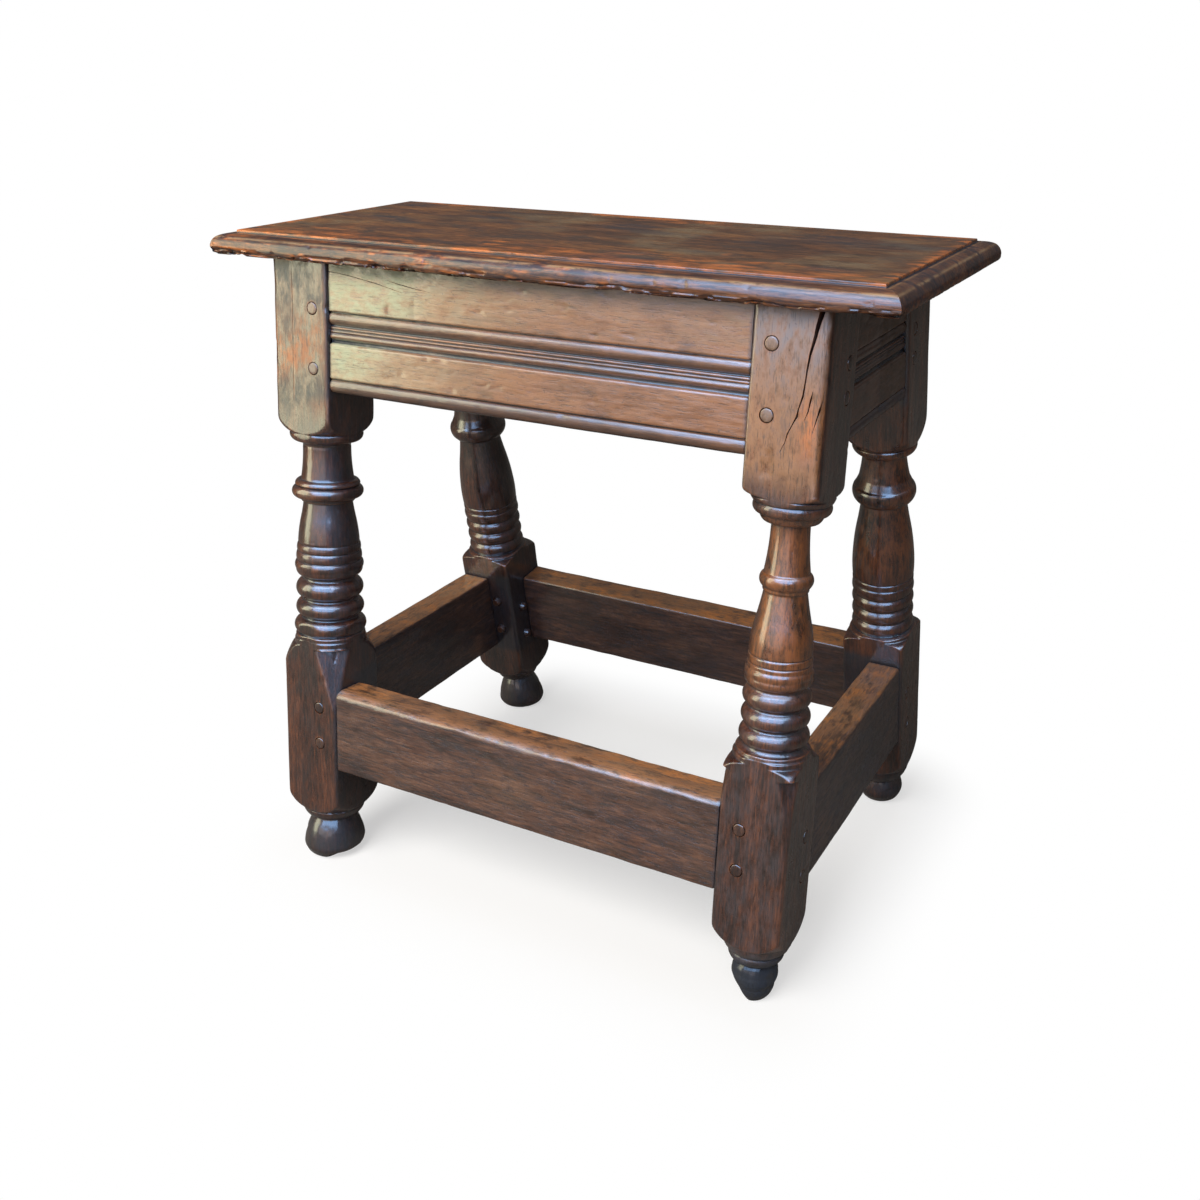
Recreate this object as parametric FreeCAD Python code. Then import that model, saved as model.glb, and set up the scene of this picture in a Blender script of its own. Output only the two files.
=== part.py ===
import FreeCAD, Part
import math
import os

V = FreeCAD.Vector

# A joint stool in oak: a moulded board on four turned legs, held together by moulded aprons and
# plain stretchers with pegged mortise and tenon joints. Sizes are in millimetres and degrees.
# The stool stands on Z = 0 with its front facing -Y, and the origin is under the middle of the seat.
# Heights are above the floor, except where a size says that it is taken under the board.

# Seat board
seat_height = 530.0
board_length = 561.7
board_depth = 241.4
board_thickness = 18.0
end_overhang = 48.15
side_overhang = 18.15
field_inset = 15.2
field_round = 1.0
field_step = 2.3
fillet_width = 4.0
nose_drop = 2.4
nose_reach = 3.6
underside_round = 4.0

# Legs, upright seen from the front and raked seen from the side
leg_square = 54.5
leg_arris = 2.2
rake_degrees = 7.77
upper_block_under_board = 121.3
lower_block_head = 183.1
lower_block_foot = 66.4

# Aprons under the board
apron_width = 100.2
apron_thickness = 24.0
apron_setback = 2.0
moulding_relief = 3.0

# Stretchers near the floor
long_stretcher_foot = 92.1
long_stretcher_head = 163.3
side_stretcher_foot = 85.6
side_stretcher_head = 164.5
stretcher_thickness = 28.7
stretcher_setback = 1.6
stretcher_arris = 2.0
stretcher_wear = 4.0
foot_rest_wear = 9.0

# Tenons and their mortises
tenon_thickness = 9.5
tenon_length = 30.0
tenon_setback = 12.0
tenon_margin = 6.0
tenon_clearance = 0.15
mortise_end_gap = 1.0

# Pegs. Places are where the long rails' pegs enter the outer face of a leg, under the board for the
# aprons and under the stretcher's head for the stretchers. The side rails' pegs are staggered.
peg_radius = 5.0
peg_clearance = 0.12
peg_proud = 1.2
peg_head_round = 0.9
peg_tip = 4.0
peg_tip_radius = 3.2
apron_upper_peg_under_board = 31.0
apron_lower_peg_under_board = 77.0
apron_peg_inset = 14.5
upper_peg_under_stretcher_head = 17.3
lower_peg_under_stretcher_head = 49.3
stretcher_peg_inset = 17.0
apron_peg_stagger = 11.5
stretcher_peg_stagger = 12.7

# How far the apron pegs of a leg stray upwards from those places, as a share of the peg's radius
peg_drift_shares = {"front_left": -1.1, "front_right": 1.2, "back_left": -0.5, "back_right": 0.3}

# Hidden pegs that hold the board on the legs
top_peg_inset = 8.0
top_peg_in_leg = 16.0
top_peg_in_board = 12.0

cut_overrun = 5.0

# How far an arc stands off its chord, as a share of the chord: a quarter circle, and the nose and
# the thumb of the board's moulding
quarter_share = 0.207
nose_share = 0.12
thumb_share = 0.06

# Turned outlines, from the bottom up. Each row is a height as a share of the turned length, a radius
# as a share of half the leg's square, and the bulge of the stretch above it as a share of that
# stretch: positive is round, negative is hollow. Past 1.42 a row is outside the square's corners.
bold_turning_shares = (
    (-0.050, 1.43, 0.04),
    (0.049, 1.13, 0.0),
    (0.053, 1.08, 0.0),
    (0.072, 1.07, 0.0),
    (0.075, 1.04, 0.0),
    (0.090, 1.04, 0.0),
    (0.096, 0.95, 0.36),
    (0.156, 0.86, -0.25),
    (0.167, 0.86, 0.33),
    (0.232, 0.84, -0.25),
    (0.243, 0.84, 0.30),
    (0.317, 0.82, -0.20),
    (0.332, 0.82, 0.20),
    (0.360, 0.985, 0.15),
    (0.393, 0.975, 0.0),
    (0.396, 0.935, 0.0),
    (0.400, 0.965, 0.06),
    (0.431, 0.945, 0.0),
    (0.434, 0.910, 0.0),
    (0.438, 0.940, 0.06),
    (0.464, 0.920, 0.0),
    (0.467, 0.885, 0.0),
    (0.471, 0.905, 0.02),
    (0.573, 0.795, -0.01),
    (0.636, 0.715, 0.0),
    (0.636, 0.780, 0.0),
    (0.650, 0.780, 0.0),
    (0.650, 0.820, 0.50),
    (0.700, 0.880, 0.0),
    (0.703, 0.950, 0.15),
    (0.722, 0.860, 0.0),
    (0.722, 0.790, 0.0),
    (0.730, 0.765, -0.02),
    (0.852, 0.697, -0.25),
    (0.876, 0.820, 0.0),
    (0.876, 0.900, 0.18),
    (0.908, 1.060, 0.0),
    (0.911, 1.030, 0.0),
    (0.915, 1.075, 0.12),
    (1.000, 1.43, 0.0),
)
slim_turning_shares = (
    (0.000, 1.43, 0.14),
    (0.048, 1.12, 0.0),
    (0.051, 1.07, 0.0),
    (0.068, 1.06, 0.0),
    (0.071, 1.01, 0.0),
    (0.084, 0.99, -0.20),
    (0.101, 0.83, 0.28),
    (0.159, 0.80, -0.25),
    (0.170, 0.80, 0.27),
    (0.229, 0.79, -0.25),
    (0.240, 0.79, 0.27),
    (0.299, 0.79, -0.20),
    (0.311, 0.79, 0.20),
    (0.345, 0.885, 0.10),
    (0.369, 0.885, 0.0),
    (0.373, 0.855, 0.0),
    (0.388, 0.855, 0.0),
    (0.391, 0.815, 0.0),
    (0.394, 0.850, 0.0),
    (0.416, 0.840, 0.0),
    (0.419, 0.800, 0.0),
    (0.422, 0.835, 0.03),
    (0.532, 0.727, -0.01),
    (0.636, 0.565, 0.0),
    (0.639, 0.600, 0.0),
    (0.650, 0.600, 0.22),
    (0.696, 0.640, 0.0),
    (0.699, 0.600, 0.0),
    (0.710, 0.590, -0.02),
    (0.870, 0.500, 0.0),
    (0.872, 0.700, 0.10),
    (0.900, 0.830, 0.0),
    (0.900, 0.900, 0.20),
    (0.934, 0.990, 0.0),
    (0.937, 0.970, 0.0),
    (0.941, 1.020, 0.0),
    (0.956, 1.090, 0.0),
    (0.959, 1.060, 0.0),
    (0.963, 1.110, 0.15),
    (1.000, 1.43, 0.0),
)
back_turning_shares = (
    (0.000, 1.43, 0.14),
    (0.028, 1.12, 0.0),
    (0.031, 1.07, 0.0),
    (0.040, 1.06, 0.0),
    (0.048, 0.90, 0.22),
    (0.098, 0.89, -0.25),
    (0.106, 0.89, 0.22),
    (0.156, 0.89, -0.25),
    (0.164, 0.89, 0.22),
    (0.214, 0.89, -0.20),
    (0.222, 0.93, 0.10),
    (0.262, 0.955, 0.0),
    (0.265, 0.920, 0.0),
    (0.268, 0.955, 0.0),
    (0.290, 0.960, 0.0),
    (0.293, 0.925, 0.0),
    (0.297, 0.955, 0.02),
    (0.400, 0.950, 0.015),
    (0.520, 0.835, -0.01),
    (0.627, 0.700, 0.0),
    (0.630, 0.800, 0.0),
    (0.640, 0.870, 0.16),
    (0.700, 0.920, 0.0),
    (0.703, 0.890, 0.0),
    (0.735, 0.775, -0.02),
    (0.830, 0.660, -0.20),
    (0.845, 0.780, 0.0),
    (0.848, 0.840, 0.18),
    (0.880, 0.970, 0.0),
    (0.883, 0.940, 0.0),
    (0.895, 1.030, 0.12),
    (1.000, 1.43, 0.0),
)

# Feet, in the same way: heights are shares of the height of the lower block's foot.
bold_foot_shares = (
    (-0.06, 0.60, 0.0),
    (0.000, 0.67, 0.12),
    (0.080, 0.89, 0.10),
    (0.150, 0.935, 0.05),
    (0.500, 0.66, 0.0),
    (0.510, 0.74, 0.12),
    (0.640, 0.96, 0.0),
    (0.652, 0.94, 0.0),
    (0.664, 0.975, 0.15),
    (1.000, 1.43, 0.0),
)
worn_foot_shares = (
    (-0.06, 0.36, 0.0),
    (0.000, 0.42, 0.12),
    (0.160, 0.58, 0.12),
    (0.300, 0.63, 0.10),
    (0.430, 0.51, 0.0),
    (0.440, 0.62, 0.15),
    (0.560, 0.78, 0.0),
    (0.575, 0.75, 0.0),
    (0.590, 0.80, 0.12),
    (0.720, 0.98, 0.10),
    (1.000, 1.43, 0.0),
)
thick_foot_shares = (
    (-0.06, 0.56, 0.0),
    (0.000, 0.64, 0.14),
    (0.070, 0.83, 0.10),
    (0.140, 0.85, 0.05),
    (0.540, 0.51, 0.0),
    (0.550, 0.61, 0.12),
    (0.690, 0.80, 0.0),
    (0.702, 0.78, 0.0),
    (0.714, 0.82, 0.12),
    (1.000, 1.43, 0.0),
)
thin_foot_shares = (
    (-0.06, 0.38, 0.0),
    (0.000, 0.46, 0.14),
    (0.080, 0.66, 0.10),
    (0.200, 0.74, 0.05),
    (0.410, 0.57, 0.0),
    (0.420, 0.70, 0.10),
    (0.640, 0.94, 0.0),
    (0.652, 0.92, 0.0),
    (0.664, 0.96, 0.12),
    (1.000, 1.43, 0.0),
)

# Which outlines each leg has
turning_shares = {
    "front_left": bold_turning_shares,
    "front_right": slim_turning_shares,
    "back_left": back_turning_shares,
    "back_right": back_turning_shares,
}
foot_shares = {
    "front_left": bold_foot_shares,
    "front_right": worn_foot_shares,
    "back_left": thick_foot_shares,
    "back_right": thin_foot_shares,
}

# The aprons' moulded face from the bottom up: a height as a share of the apron's height, how far in
# from the face as a share of the relief, and the bulge of the stretch above it.
apron_face_shares = (
    (0.000, 1.20, 0.25),
    (0.100, 0.35, 0.0),
    (0.104, 0.75, 0.0),
    (0.110, 0.75, 0.0),
    (0.114, 0.00, 0.0),
    (0.373, 0.00, 0.0),
    (0.383, 0.35, 0.0),
    (0.387, 0.90, 0.0),
    (0.412, 0.90, 0.0),
    (0.415, 0.75, 0.35),
    (0.463, 0.75, 0.0),
    (0.468, 0.45, 0.0),
    (0.481, 0.45, 0.0),
    (0.485, 0.75, 0.0),
    (0.489, 0.75, 0.0),
    (0.493, 0.45, 0.0),
    (0.507, 0.45, 0.0),
    (0.511, 1.00, 0.0),
    (0.523, 1.00, 0.0),
    (0.526, 0.75, 0.22),
    (0.612, 0.55, 0.0),
    (0.615, 0.80, 0.0),
    (0.621, 0.80, 0.0),
    (0.625, 0.00, 0.0),
    (1.000, 0.00, 0.0),
)

# Worked out from the sizes above
half_leg = leg_square / 2
rake = math.radians(rake_degrees)
frame_height = seat_height - board_thickness
leg_spacing = board_length - 2 * end_overhang - leg_square
seat_spread = board_depth - 2 * side_overhang - leg_square
floor_spread = seat_spread + 2 * seat_height * math.tan(rake)
upper_block_foot = frame_height - upper_block_under_board
apron_foot = frame_height - apron_width
shoulder = leg_spacing / 2 - half_leg
leg_reach = leg_spacing / 2 + half_leg

# Each corner of the frame: where it is along its long rail, seen from outside, as a share of half the
# rail, and the turn about the vertical that takes the front of the stool to that side.
corner_end_shares = {"front_left": -1, "front_right": 1, "back_right": -1, "back_left": 1}
corner_turn_degrees = {"front_left": 0, "front_right": 0, "back_right": 180, "back_left": 180}
long_side_turn_degrees = {"front": 0, "back": 180}
short_side_turn_degrees = {"right": 0, "left": 180}


def rise(height, out=0):
    """Distance up a leg's axis to a height above the floor, met at a distance out from the axis."""
    return (height - out * math.sin(rake)) / math.cos(rake)


def stretch(start, end, bulge):
    """One edge of an outline in the XZ plane: a line, or an arc where it bulges."""
    if bulge == 0:
        return Part.LineSegment(start, end).toShape()
    along = end - start
    aside = V(along.z, 0, -along.x)
    return Part.Arc(start, (start + end) * 0.5 + aside * bulge, end).toShape()


def outline_face(points):
    """A face in the XZ plane from (x, z, bulge) points, closed back to the first."""
    corners_of_face = [V(x, 0, z) for x, z, bulge in points]
    following = corners_of_face[1:] + corners_of_face[:1]
    edges = [
        stretch(start, end, bulge)
        for start, end, (x, z, bulge) in zip(corners_of_face, following, points)
    ]
    return Part.Face(Part.Wire(edges))


def block(low, high):
    """A box between two corners."""
    return Part.makeBox(high.x - low.x, high.y - low.y, high.z - low.z, low)


def turned(shape, degrees):
    """A copy turned about the stool's vertical axis."""
    copy = shape.copy()
    copy.rotate(V(0, 0, 0), V(0, 0, 1), degrees)
    return copy


def lean(shape):
    """Takes a shape from the frame of the front legs, where Z runs up a leg, to the stool's."""
    copy = shape.copy()
    copy.rotate(V(0, 0, 0), V(1, 0, 0), -math.degrees(rake))
    copy.translate(V(0, -floor_spread / 2, 0))
    return copy


def trimmed(shape):
    """What lies between the floor and the underside of the board."""
    room = block(
        V(-board_length, -floor_spread, 0), V(board_length, floor_spread, frame_height)
    )
    return shape.common(room)


def edge_profile(half_width):
    """Half of the board's section: the field, a quirk, a fillet, a thumb moulding and a round under."""
    field = half_width - field_inset
    step = seat_height - field_step
    return [
        (0, frame_height, 0),
        (half_width - underside_round, frame_height, quarter_share),
        (half_width, frame_height + underside_round, nose_share),
        (half_width - nose_reach, step - nose_drop, thumb_share),
        (field + fillet_width, step, 0),
        (field, step, 0),
        (field, seat_height - field_round, quarter_share),
        (field - field_round, seat_height, 0),
        (0, seat_height, 0),
    ]


def moulded_length(half_width, length):
    """The board's section on both sides of the middle, run along Y."""
    half = outline_face(edge_profile(half_width)).extrude(V(0, length, 0))
    half.translate(V(0, -length / 2, 0))
    return half.fuse(turned(half, 180)).removeSplitter()


def top_board():
    """The seat board, with its moulding mitred at the corners."""
    run = board_length + board_depth
    ends = moulded_length(board_length / 2, run)
    sides = turned(moulded_length(board_depth / 2, run), 90)
    return ends.common(sides)


def turning(shares, foot, length):
    """The rows of an outline table as (radius, height, bulge)."""
    return [
        (radius * half_leg, foot + height * length, bulge)
        for height, radius, bulge in shares
    ]


def leg_stick(corner):
    """A leg in its own frame, before it is raked: square stock, turned between the blocks."""
    top = rise(seat_height)
    block_foot = rise(lower_block_foot)
    block_head = rise(lower_block_head)
    upper_foot = rise(upper_block_foot)
    clear = leg_square
    foot = turning(foot_shares[corner], 0, block_foot)
    middle = turning(turning_shares[corner], block_head, upper_foot - block_head)
    outline = [(0, foot[0][1], 0)] + foot
    outline += [(clear, block_foot, 0), (clear, block_head, 0)] + middle
    outline += [(clear, upper_foot, 0), (clear, top, 0), (0, top, 0)]
    round_form = outline_face(outline).revolve(V(0, 0, 0), V(0, 0, 1), 360)
    stock = block(V(-half_leg, -half_leg, foot[0][1]), V(half_leg, half_leg, top))
    upright = [edge for edge in stock.Edges if edge.BoundBox.ZLength > leg_square]
    return stock.makeFillet(leg_arris, upright).common(round_form)


def apron_section(foot, height):
    """The apron's section, with its face at X = 0 and its back inwards. Its top is cut off later."""
    face = [
        (-depth * moulding_relief, foot + share * height, bulge)
        for share, depth, bulge in apron_face_shares
    ]
    top = foot + height + cut_overrun
    back = [(0, top, 0), (-apron_thickness, top, 0), (-apron_thickness, foot, 0)]
    return outline_face(face + back)


def stretcher_section(foot, height, wear):
    """The stretcher's section with worn arrises. Wear rounds its upper outer edge."""
    head = foot + height
    inner = -stretcher_thickness
    arris = stretcher_arris
    points = [
        (-arris, foot, quarter_share),
        (0, foot + arris, 0),
        (0, head - wear, quarter_share),
        (-wear, head, 0),
        (inner + arris, head, quarter_share),
        (inner, head - arris, 0),
        (inner, foot + arris, quarter_share),
        (inner + arris, foot, 0),
    ]
    return outline_face(points)


def long_rail(section, setback):
    """A rail between the shoulders of two front legs, in the frame of the front legs."""
    bar = section.extrude(V(0, 2 * shoulder, 0))
    bar.translate(V(half_leg - setback, -shoulder, 0))
    return turned(bar, -90)


def long_tenons(foot, head, grow, end_gap):
    """Both tenons of a long rail as one bar, in the frame of the front legs."""
    reach = shoulder + tenon_length + end_gap
    outer = -half_leg + tenon_setback
    low = V(-reach, outer - grow, foot + tenon_margin - grow)
    high = V(reach, outer + tenon_thickness + grow, head - tenon_margin + grow)
    return block(low, high)


def between_side_legs(foot, head, reach, inner, outer):
    """What lies between the right-hand legs' facing sides, and a reach into them, from foot to head."""

    def half_gap(height):
        axis = floor_spread / 2 - height * math.tan(rake)
        return axis - (half_leg - reach) / math.cos(rake)

    points = [
        V(inner, -half_gap(foot), foot),
        V(inner, half_gap(foot), foot),
        V(inner, half_gap(head), head),
        V(inner, -half_gap(head), head),
    ]
    face = Part.Face(Part.makePolygon(points + points[:1]))
    return face.extrude(V(outer - inner, 0, 0))


def side_rail(section, foot, head, setback):
    """The right-hand rail between the shoulders of the raked legs."""
    bar = section.extrude(V(0, 2 * floor_spread, 0))
    bar.translate(V(leg_reach - setback, -floor_spread, 0))
    room = between_side_legs(foot, head, 0, shoulder, leg_reach + cut_overrun)
    return bar.common(room)


def side_tenons(foot, head, grow, end_gap):
    """Both tenons of the right-hand rail as one bar."""
    outer = leg_reach - tenon_setback
    return between_side_legs(
        foot + tenon_margin - grow,
        head - tenon_margin + grow,
        tenon_length + end_gap,
        outer - tenon_thickness - grow,
        outer + grow,
    )


def peg():
    """A peg along +Z from the outer face of a leg at Z = 0: a worn head, a shank and a pointed tip."""
    head = -peg_proud
    through = leg_square
    outline = [
        (0, head, 0),
        (peg_radius - peg_head_round, head, 0),
        (peg_radius, head + peg_head_round, 0),
        (peg_radius, through, 0),
        (peg_tip_radius, through + peg_tip, 0),
        (0, through + peg_tip, 0),
    ]
    return outline_face(outline).revolve(V(0, 0, 0), V(0, 0, 1), 360)


def peg_hole():
    """The hole for a peg, right through a leg."""
    length = leg_square + 2 * cut_overrun
    return Part.makeCylinder(peg_radius + peg_clearance, length, V(0, 0, -cut_overrun))


def along_y(shape, x, z):
    """Puts a peg shape into the front face of a front leg, in the leg's frame."""
    copy = shape.copy()
    copy.rotate(V(0, 0, 0), V(1, 0, 0), -90)
    copy.translate(V(x, -half_leg, z))
    return copy


def along_x(shape, end, y, z):
    """Puts a peg shape into the outer side of a leg at one end, in the leg's frame."""
    copy = shape.copy()
    copy.rotate(V(0, 0, 0), V(0, 1, 0), -90 * end)
    copy.translate(V(end * leg_reach, y, z))
    return copy


def joint_pegs(shape, end, drift):
    """Pegs, or their holes, of one leg in its own frame, for each of the four rails that enter it."""
    apron_heights = [
        rise(frame_height - depth + drift, half_leg)
        for depth in (apron_upper_peg_under_board, apron_lower_peg_under_board)
    ]
    stretcher_depths = (upper_peg_under_stretcher_head, lower_peg_under_stretcher_head)
    apron_x = end * (shoulder + apron_peg_inset)
    stretcher_x = end * (shoulder + stretcher_peg_inset)
    upper, lower = apron_heights
    return {
        "long_apron": [along_y(shape, apron_x, z) for z in apron_heights],
        "long_stretcher": [
            along_y(shape, stretcher_x, rise(long_stretcher_head - depth, half_leg))
            for depth in stretcher_depths
        ],
        "side_apron": [
            along_x(shape, end, half_leg - apron_peg_inset, z)
            for z in (upper - apron_peg_stagger, lower + apron_peg_stagger)
        ],
        "side_stretcher": [
            along_x(
                shape,
                end,
                half_leg - stretcher_peg_inset,
                rise(side_stretcher_head - depth, half_leg) - stretcher_peg_stagger,
            )
            for depth in stretcher_depths
        ],
    }


def top_peg(end, grow, gap):
    """The hidden peg between a leg's top and the board, or its hole, in the leg's frame."""
    x = end * (leg_spacing / 2 - top_peg_inset)
    low = rise(frame_height) - top_peg_in_leg - gap
    length = top_peg_in_leg + top_peg_in_board + 2 * gap
    return Part.makeCylinder(peg_radius + grow, length, V(x, top_peg_inset, low))


# Heights of the long rails up the raked legs, at their outer faces
apron_low = rise(apron_foot, half_leg - apron_setback)
apron_high = rise(frame_height, half_leg - apron_setback)
stretcher_low = rise(long_stretcher_foot, half_leg - stretcher_setback)
stretcher_high = rise(long_stretcher_head, half_leg - stretcher_setback)

nodes = {}
groups = {}

# The board, and the legs with their mortises and peg holes
board = top_board()
rail_mortises = [
    long_tenons(apron_low, apron_high, tenon_clearance, mortise_end_gap),
    long_tenons(stretcher_low, stretcher_high, tenon_clearance, mortise_end_gap),
]
side_mortises = [
    side_tenons(apron_foot, frame_height, tenon_clearance, mortise_end_gap),
    side_tenons(side_stretcher_foot, side_stretcher_head, tenon_clearance, mortise_end_gap),
]
holes = {}
for corner, end in corner_end_shares.items():
    turn = corner_turn_degrees[corner]
    stick = leg_stick(corner)
    stick.translate(V(end * leg_spacing / 2, 0, 0))
    drift = peg_drift_shares[corner] * peg_radius
    holes[corner] = joint_pegs(peg_hole(), end, drift)
    own_holes = [hole for rail in holes[corner].values() for hole in rail]
    socket = top_peg(end, peg_clearance, mortise_end_gap)
    stick = stick.cut(rail_mortises + own_holes + [socket])
    side = turned(trimmed(lean(stick)), turn)
    front_or_back, left_or_right = corner.split("_")
    side_turn = short_side_turn_degrees[left_or_right]
    nodes[corner + "_leg"] = side.cut([turned(mortise, side_turn) for mortise in side_mortises])
    board = board.cut(turned(lean(socket), turn))
    for rail, pegs in joint_pegs(peg(), end, drift).items():
        run, kind = rail.split("_")
        owner = front_or_back if run == "long" else left_or_right
        placed = [turned(lean(shape), turn) for shape in pegs]
        groups.setdefault(owner + "_" + kind + "_pegs", []).extend(placed)
    hidden = turned(lean(top_peg(end, 0, 0)), turn)
    groups.setdefault("top_pegs", []).append(hidden)
nodes["top_board"] = board


def holes_of(rail, names):
    """The peg holes that a rail's joints with the named corners need, in the stool's frame."""
    return [
        turned(lean(hole), corner_turn_degrees[corner])
        for corner in names
        for hole in holes[corner][rail]
    ]


# The long rails, front and back
for side, turn in long_side_turn_degrees.items():
    ends = [corner for corner in corner_end_shares if corner.startswith(side)]
    wear = foot_rest_wear if side == "front" else stretcher_wear
    apron = long_rail(apron_section(apron_low, apron_high - apron_low), apron_setback).fuse(
        long_tenons(apron_low, apron_high, 0, 0)
    )
    stretcher = long_rail(
        stretcher_section(stretcher_low, stretcher_high - stretcher_low, wear), stretcher_setback
    ).fuse(long_tenons(stretcher_low, stretcher_high, 0, 0))
    apron = turned(trimmed(lean(apron)), turn)
    stretcher = turned(lean(stretcher), turn)
    nodes[side + "_apron"] = apron.cut(holes_of("long_apron", ends))
    nodes[side + "_stretcher"] = stretcher.cut(holes_of("long_stretcher", ends))

# The side rails, right and left
for side, turn in short_side_turn_degrees.items():
    ends = [corner for corner in corner_end_shares if corner.endswith(side)]
    apron_body = side_rail(
        apron_section(apron_foot, frame_height - apron_foot),
        apron_foot,
        frame_height,
        apron_setback,
    )
    side_height = side_stretcher_head - side_stretcher_foot
    stretcher_body = side_rail(
        stretcher_section(side_stretcher_foot, side_height, stretcher_wear),
        side_stretcher_foot,
        side_stretcher_head,
        stretcher_setback,
    )
    apron = apron_body.fuse(side_tenons(apron_foot, frame_height, 0, 0))
    stretcher = stretcher_body.fuse(side_tenons(side_stretcher_foot, side_stretcher_head, 0, 0))
    nodes[side + "_apron"] = turned(apron, turn).cut(holes_of("side_apron", ends))
    nodes[side + "_stretcher"] = turned(stretcher, turn).cut(holes_of("side_stretcher", ends))

for name, pegs in groups.items():
    nodes[name] = Part.makeCompound(pegs)

os.makedirs("parts", exist_ok=True)
for name, shape in nodes.items():
    shape.exportStep("parts/" + name + ".step")
    box = shape.BoundBox
    print(
        name, len(shape.Solids), "solids", "valid" if shape.isValid() else "INVALID",
        "volume", round(shape.Volume),
        "from", [round(n, 1) for n in (box.XMin, box.YMin, box.ZMin)],
        "to", [round(n, 1) for n in (box.XMax, box.YMax, box.ZMax)],
    )
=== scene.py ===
import math

import bmesh
import bpy
import numpy as np
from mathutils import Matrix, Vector
from mathutils.geometry import delaunay_2d_cdt


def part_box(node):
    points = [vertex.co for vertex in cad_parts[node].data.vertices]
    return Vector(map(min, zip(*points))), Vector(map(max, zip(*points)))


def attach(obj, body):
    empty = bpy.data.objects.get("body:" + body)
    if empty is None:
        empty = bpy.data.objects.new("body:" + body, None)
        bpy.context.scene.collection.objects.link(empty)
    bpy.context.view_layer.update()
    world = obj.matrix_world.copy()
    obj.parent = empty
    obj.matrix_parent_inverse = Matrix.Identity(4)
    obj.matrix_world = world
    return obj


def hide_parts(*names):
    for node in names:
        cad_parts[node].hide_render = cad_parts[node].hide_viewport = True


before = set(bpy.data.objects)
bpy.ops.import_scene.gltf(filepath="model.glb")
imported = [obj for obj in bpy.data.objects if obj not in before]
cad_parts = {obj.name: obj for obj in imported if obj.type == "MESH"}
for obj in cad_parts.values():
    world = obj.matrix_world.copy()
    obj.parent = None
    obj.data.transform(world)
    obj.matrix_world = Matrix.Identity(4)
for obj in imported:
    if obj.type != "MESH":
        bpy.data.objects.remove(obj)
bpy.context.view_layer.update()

# The looks of an oak joint stool: old, dark, waxed and worn, with splits and chips.
# Shapes are worked out in millimetres and turned into metres when a mesh is made.
MM = 0.001


def box_mm(node):
    """The lowest and highest corner of a node, in millimetres."""
    low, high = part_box(node)
    return np.array(low) / MM, np.array(high) / MM


# Sizes that the frame gives
board_low, board_high = box_mm("top_board")
seat_height = board_high[2]
board_length = board_high[0] - board_low[0]
board_depth = board_high[1] - board_low[1]
leg_low, leg_high = box_mm("front_left_leg")
leg_square = leg_high[0] - leg_low[0]
leg_spacing = -(leg_high[0] + leg_low[0])

# The board
board_thickness = 18.0
side_overhang = 18.15
field_inset = 15.2
field_round = 1.0
field_step = 2.3
fillet_width = 4.0
nose_drop = 2.4
nose_reach = 3.6
underside_round = 4.0

# The legs
rake = math.radians(7.77)
upper_block_under_board = 121.3
lower_block_head = 183.1
lower_block_foot = 66.4

# The rails
apron_width = 100.2
apron_thickness = 24.0
apron_setback = 2.0
moulding_relief = 3.0
long_stretcher_foot = 92.1
long_stretcher_head = 163.3
side_stretcher_foot = 85.6
side_stretcher_head = 164.5
stretcher_thickness = 28.7
stretcher_setback = 1.6
stretcher_arris = 2.0
tenon_thickness = 9.5
tenon_length = 30.0
tenon_setback = 12.0
tenon_margin = 6.0
tenon_clearance = 0.15
mortise_end_gap = 1.0
shoulder_gap = 0.35

# The pegs
peg_radius = 5.0
peg_hole_radius = 5.08
peg_proud = 1.2
peg_tip = 4.0
peg_tip_radius = 3.2
apron_pegs_under_board = (31.0, 77.0)
apron_peg_inset = 14.5
apron_peg_stagger = 11.5
stretcher_pegs_under_head = (17.3, 49.3)
stretcher_peg_inset = 17.0
stretcher_peg_stagger = 12.7
peg_drift_shares = {"front_left": -1.1, "front_right": 1.2, "back_left": -0.5, "back_right": 0.3}

# Worked out from the sizes above
half_leg = leg_square / 2
frame_height = seat_height - board_thickness
floor_spread = board_depth - 2 * side_overhang - leg_square + 2 * seat_height * math.tan(rake)
shoulder = leg_spacing / 2 - half_leg
leg_reach = leg_spacing / 2 + half_leg
upper_block_foot = frame_height - upper_block_under_board
apron_foot = frame_height - apron_width

# Each corner: which end of a long rail it is at, seen from outside, and the half turns about the
# vertical that take the front of the stool to that side
corners = {
    "front_left": (-1, 0),
    "front_right": (1, 0),
    "back_right": (-1, 1),
    "back_left": (1, 1),
}

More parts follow.
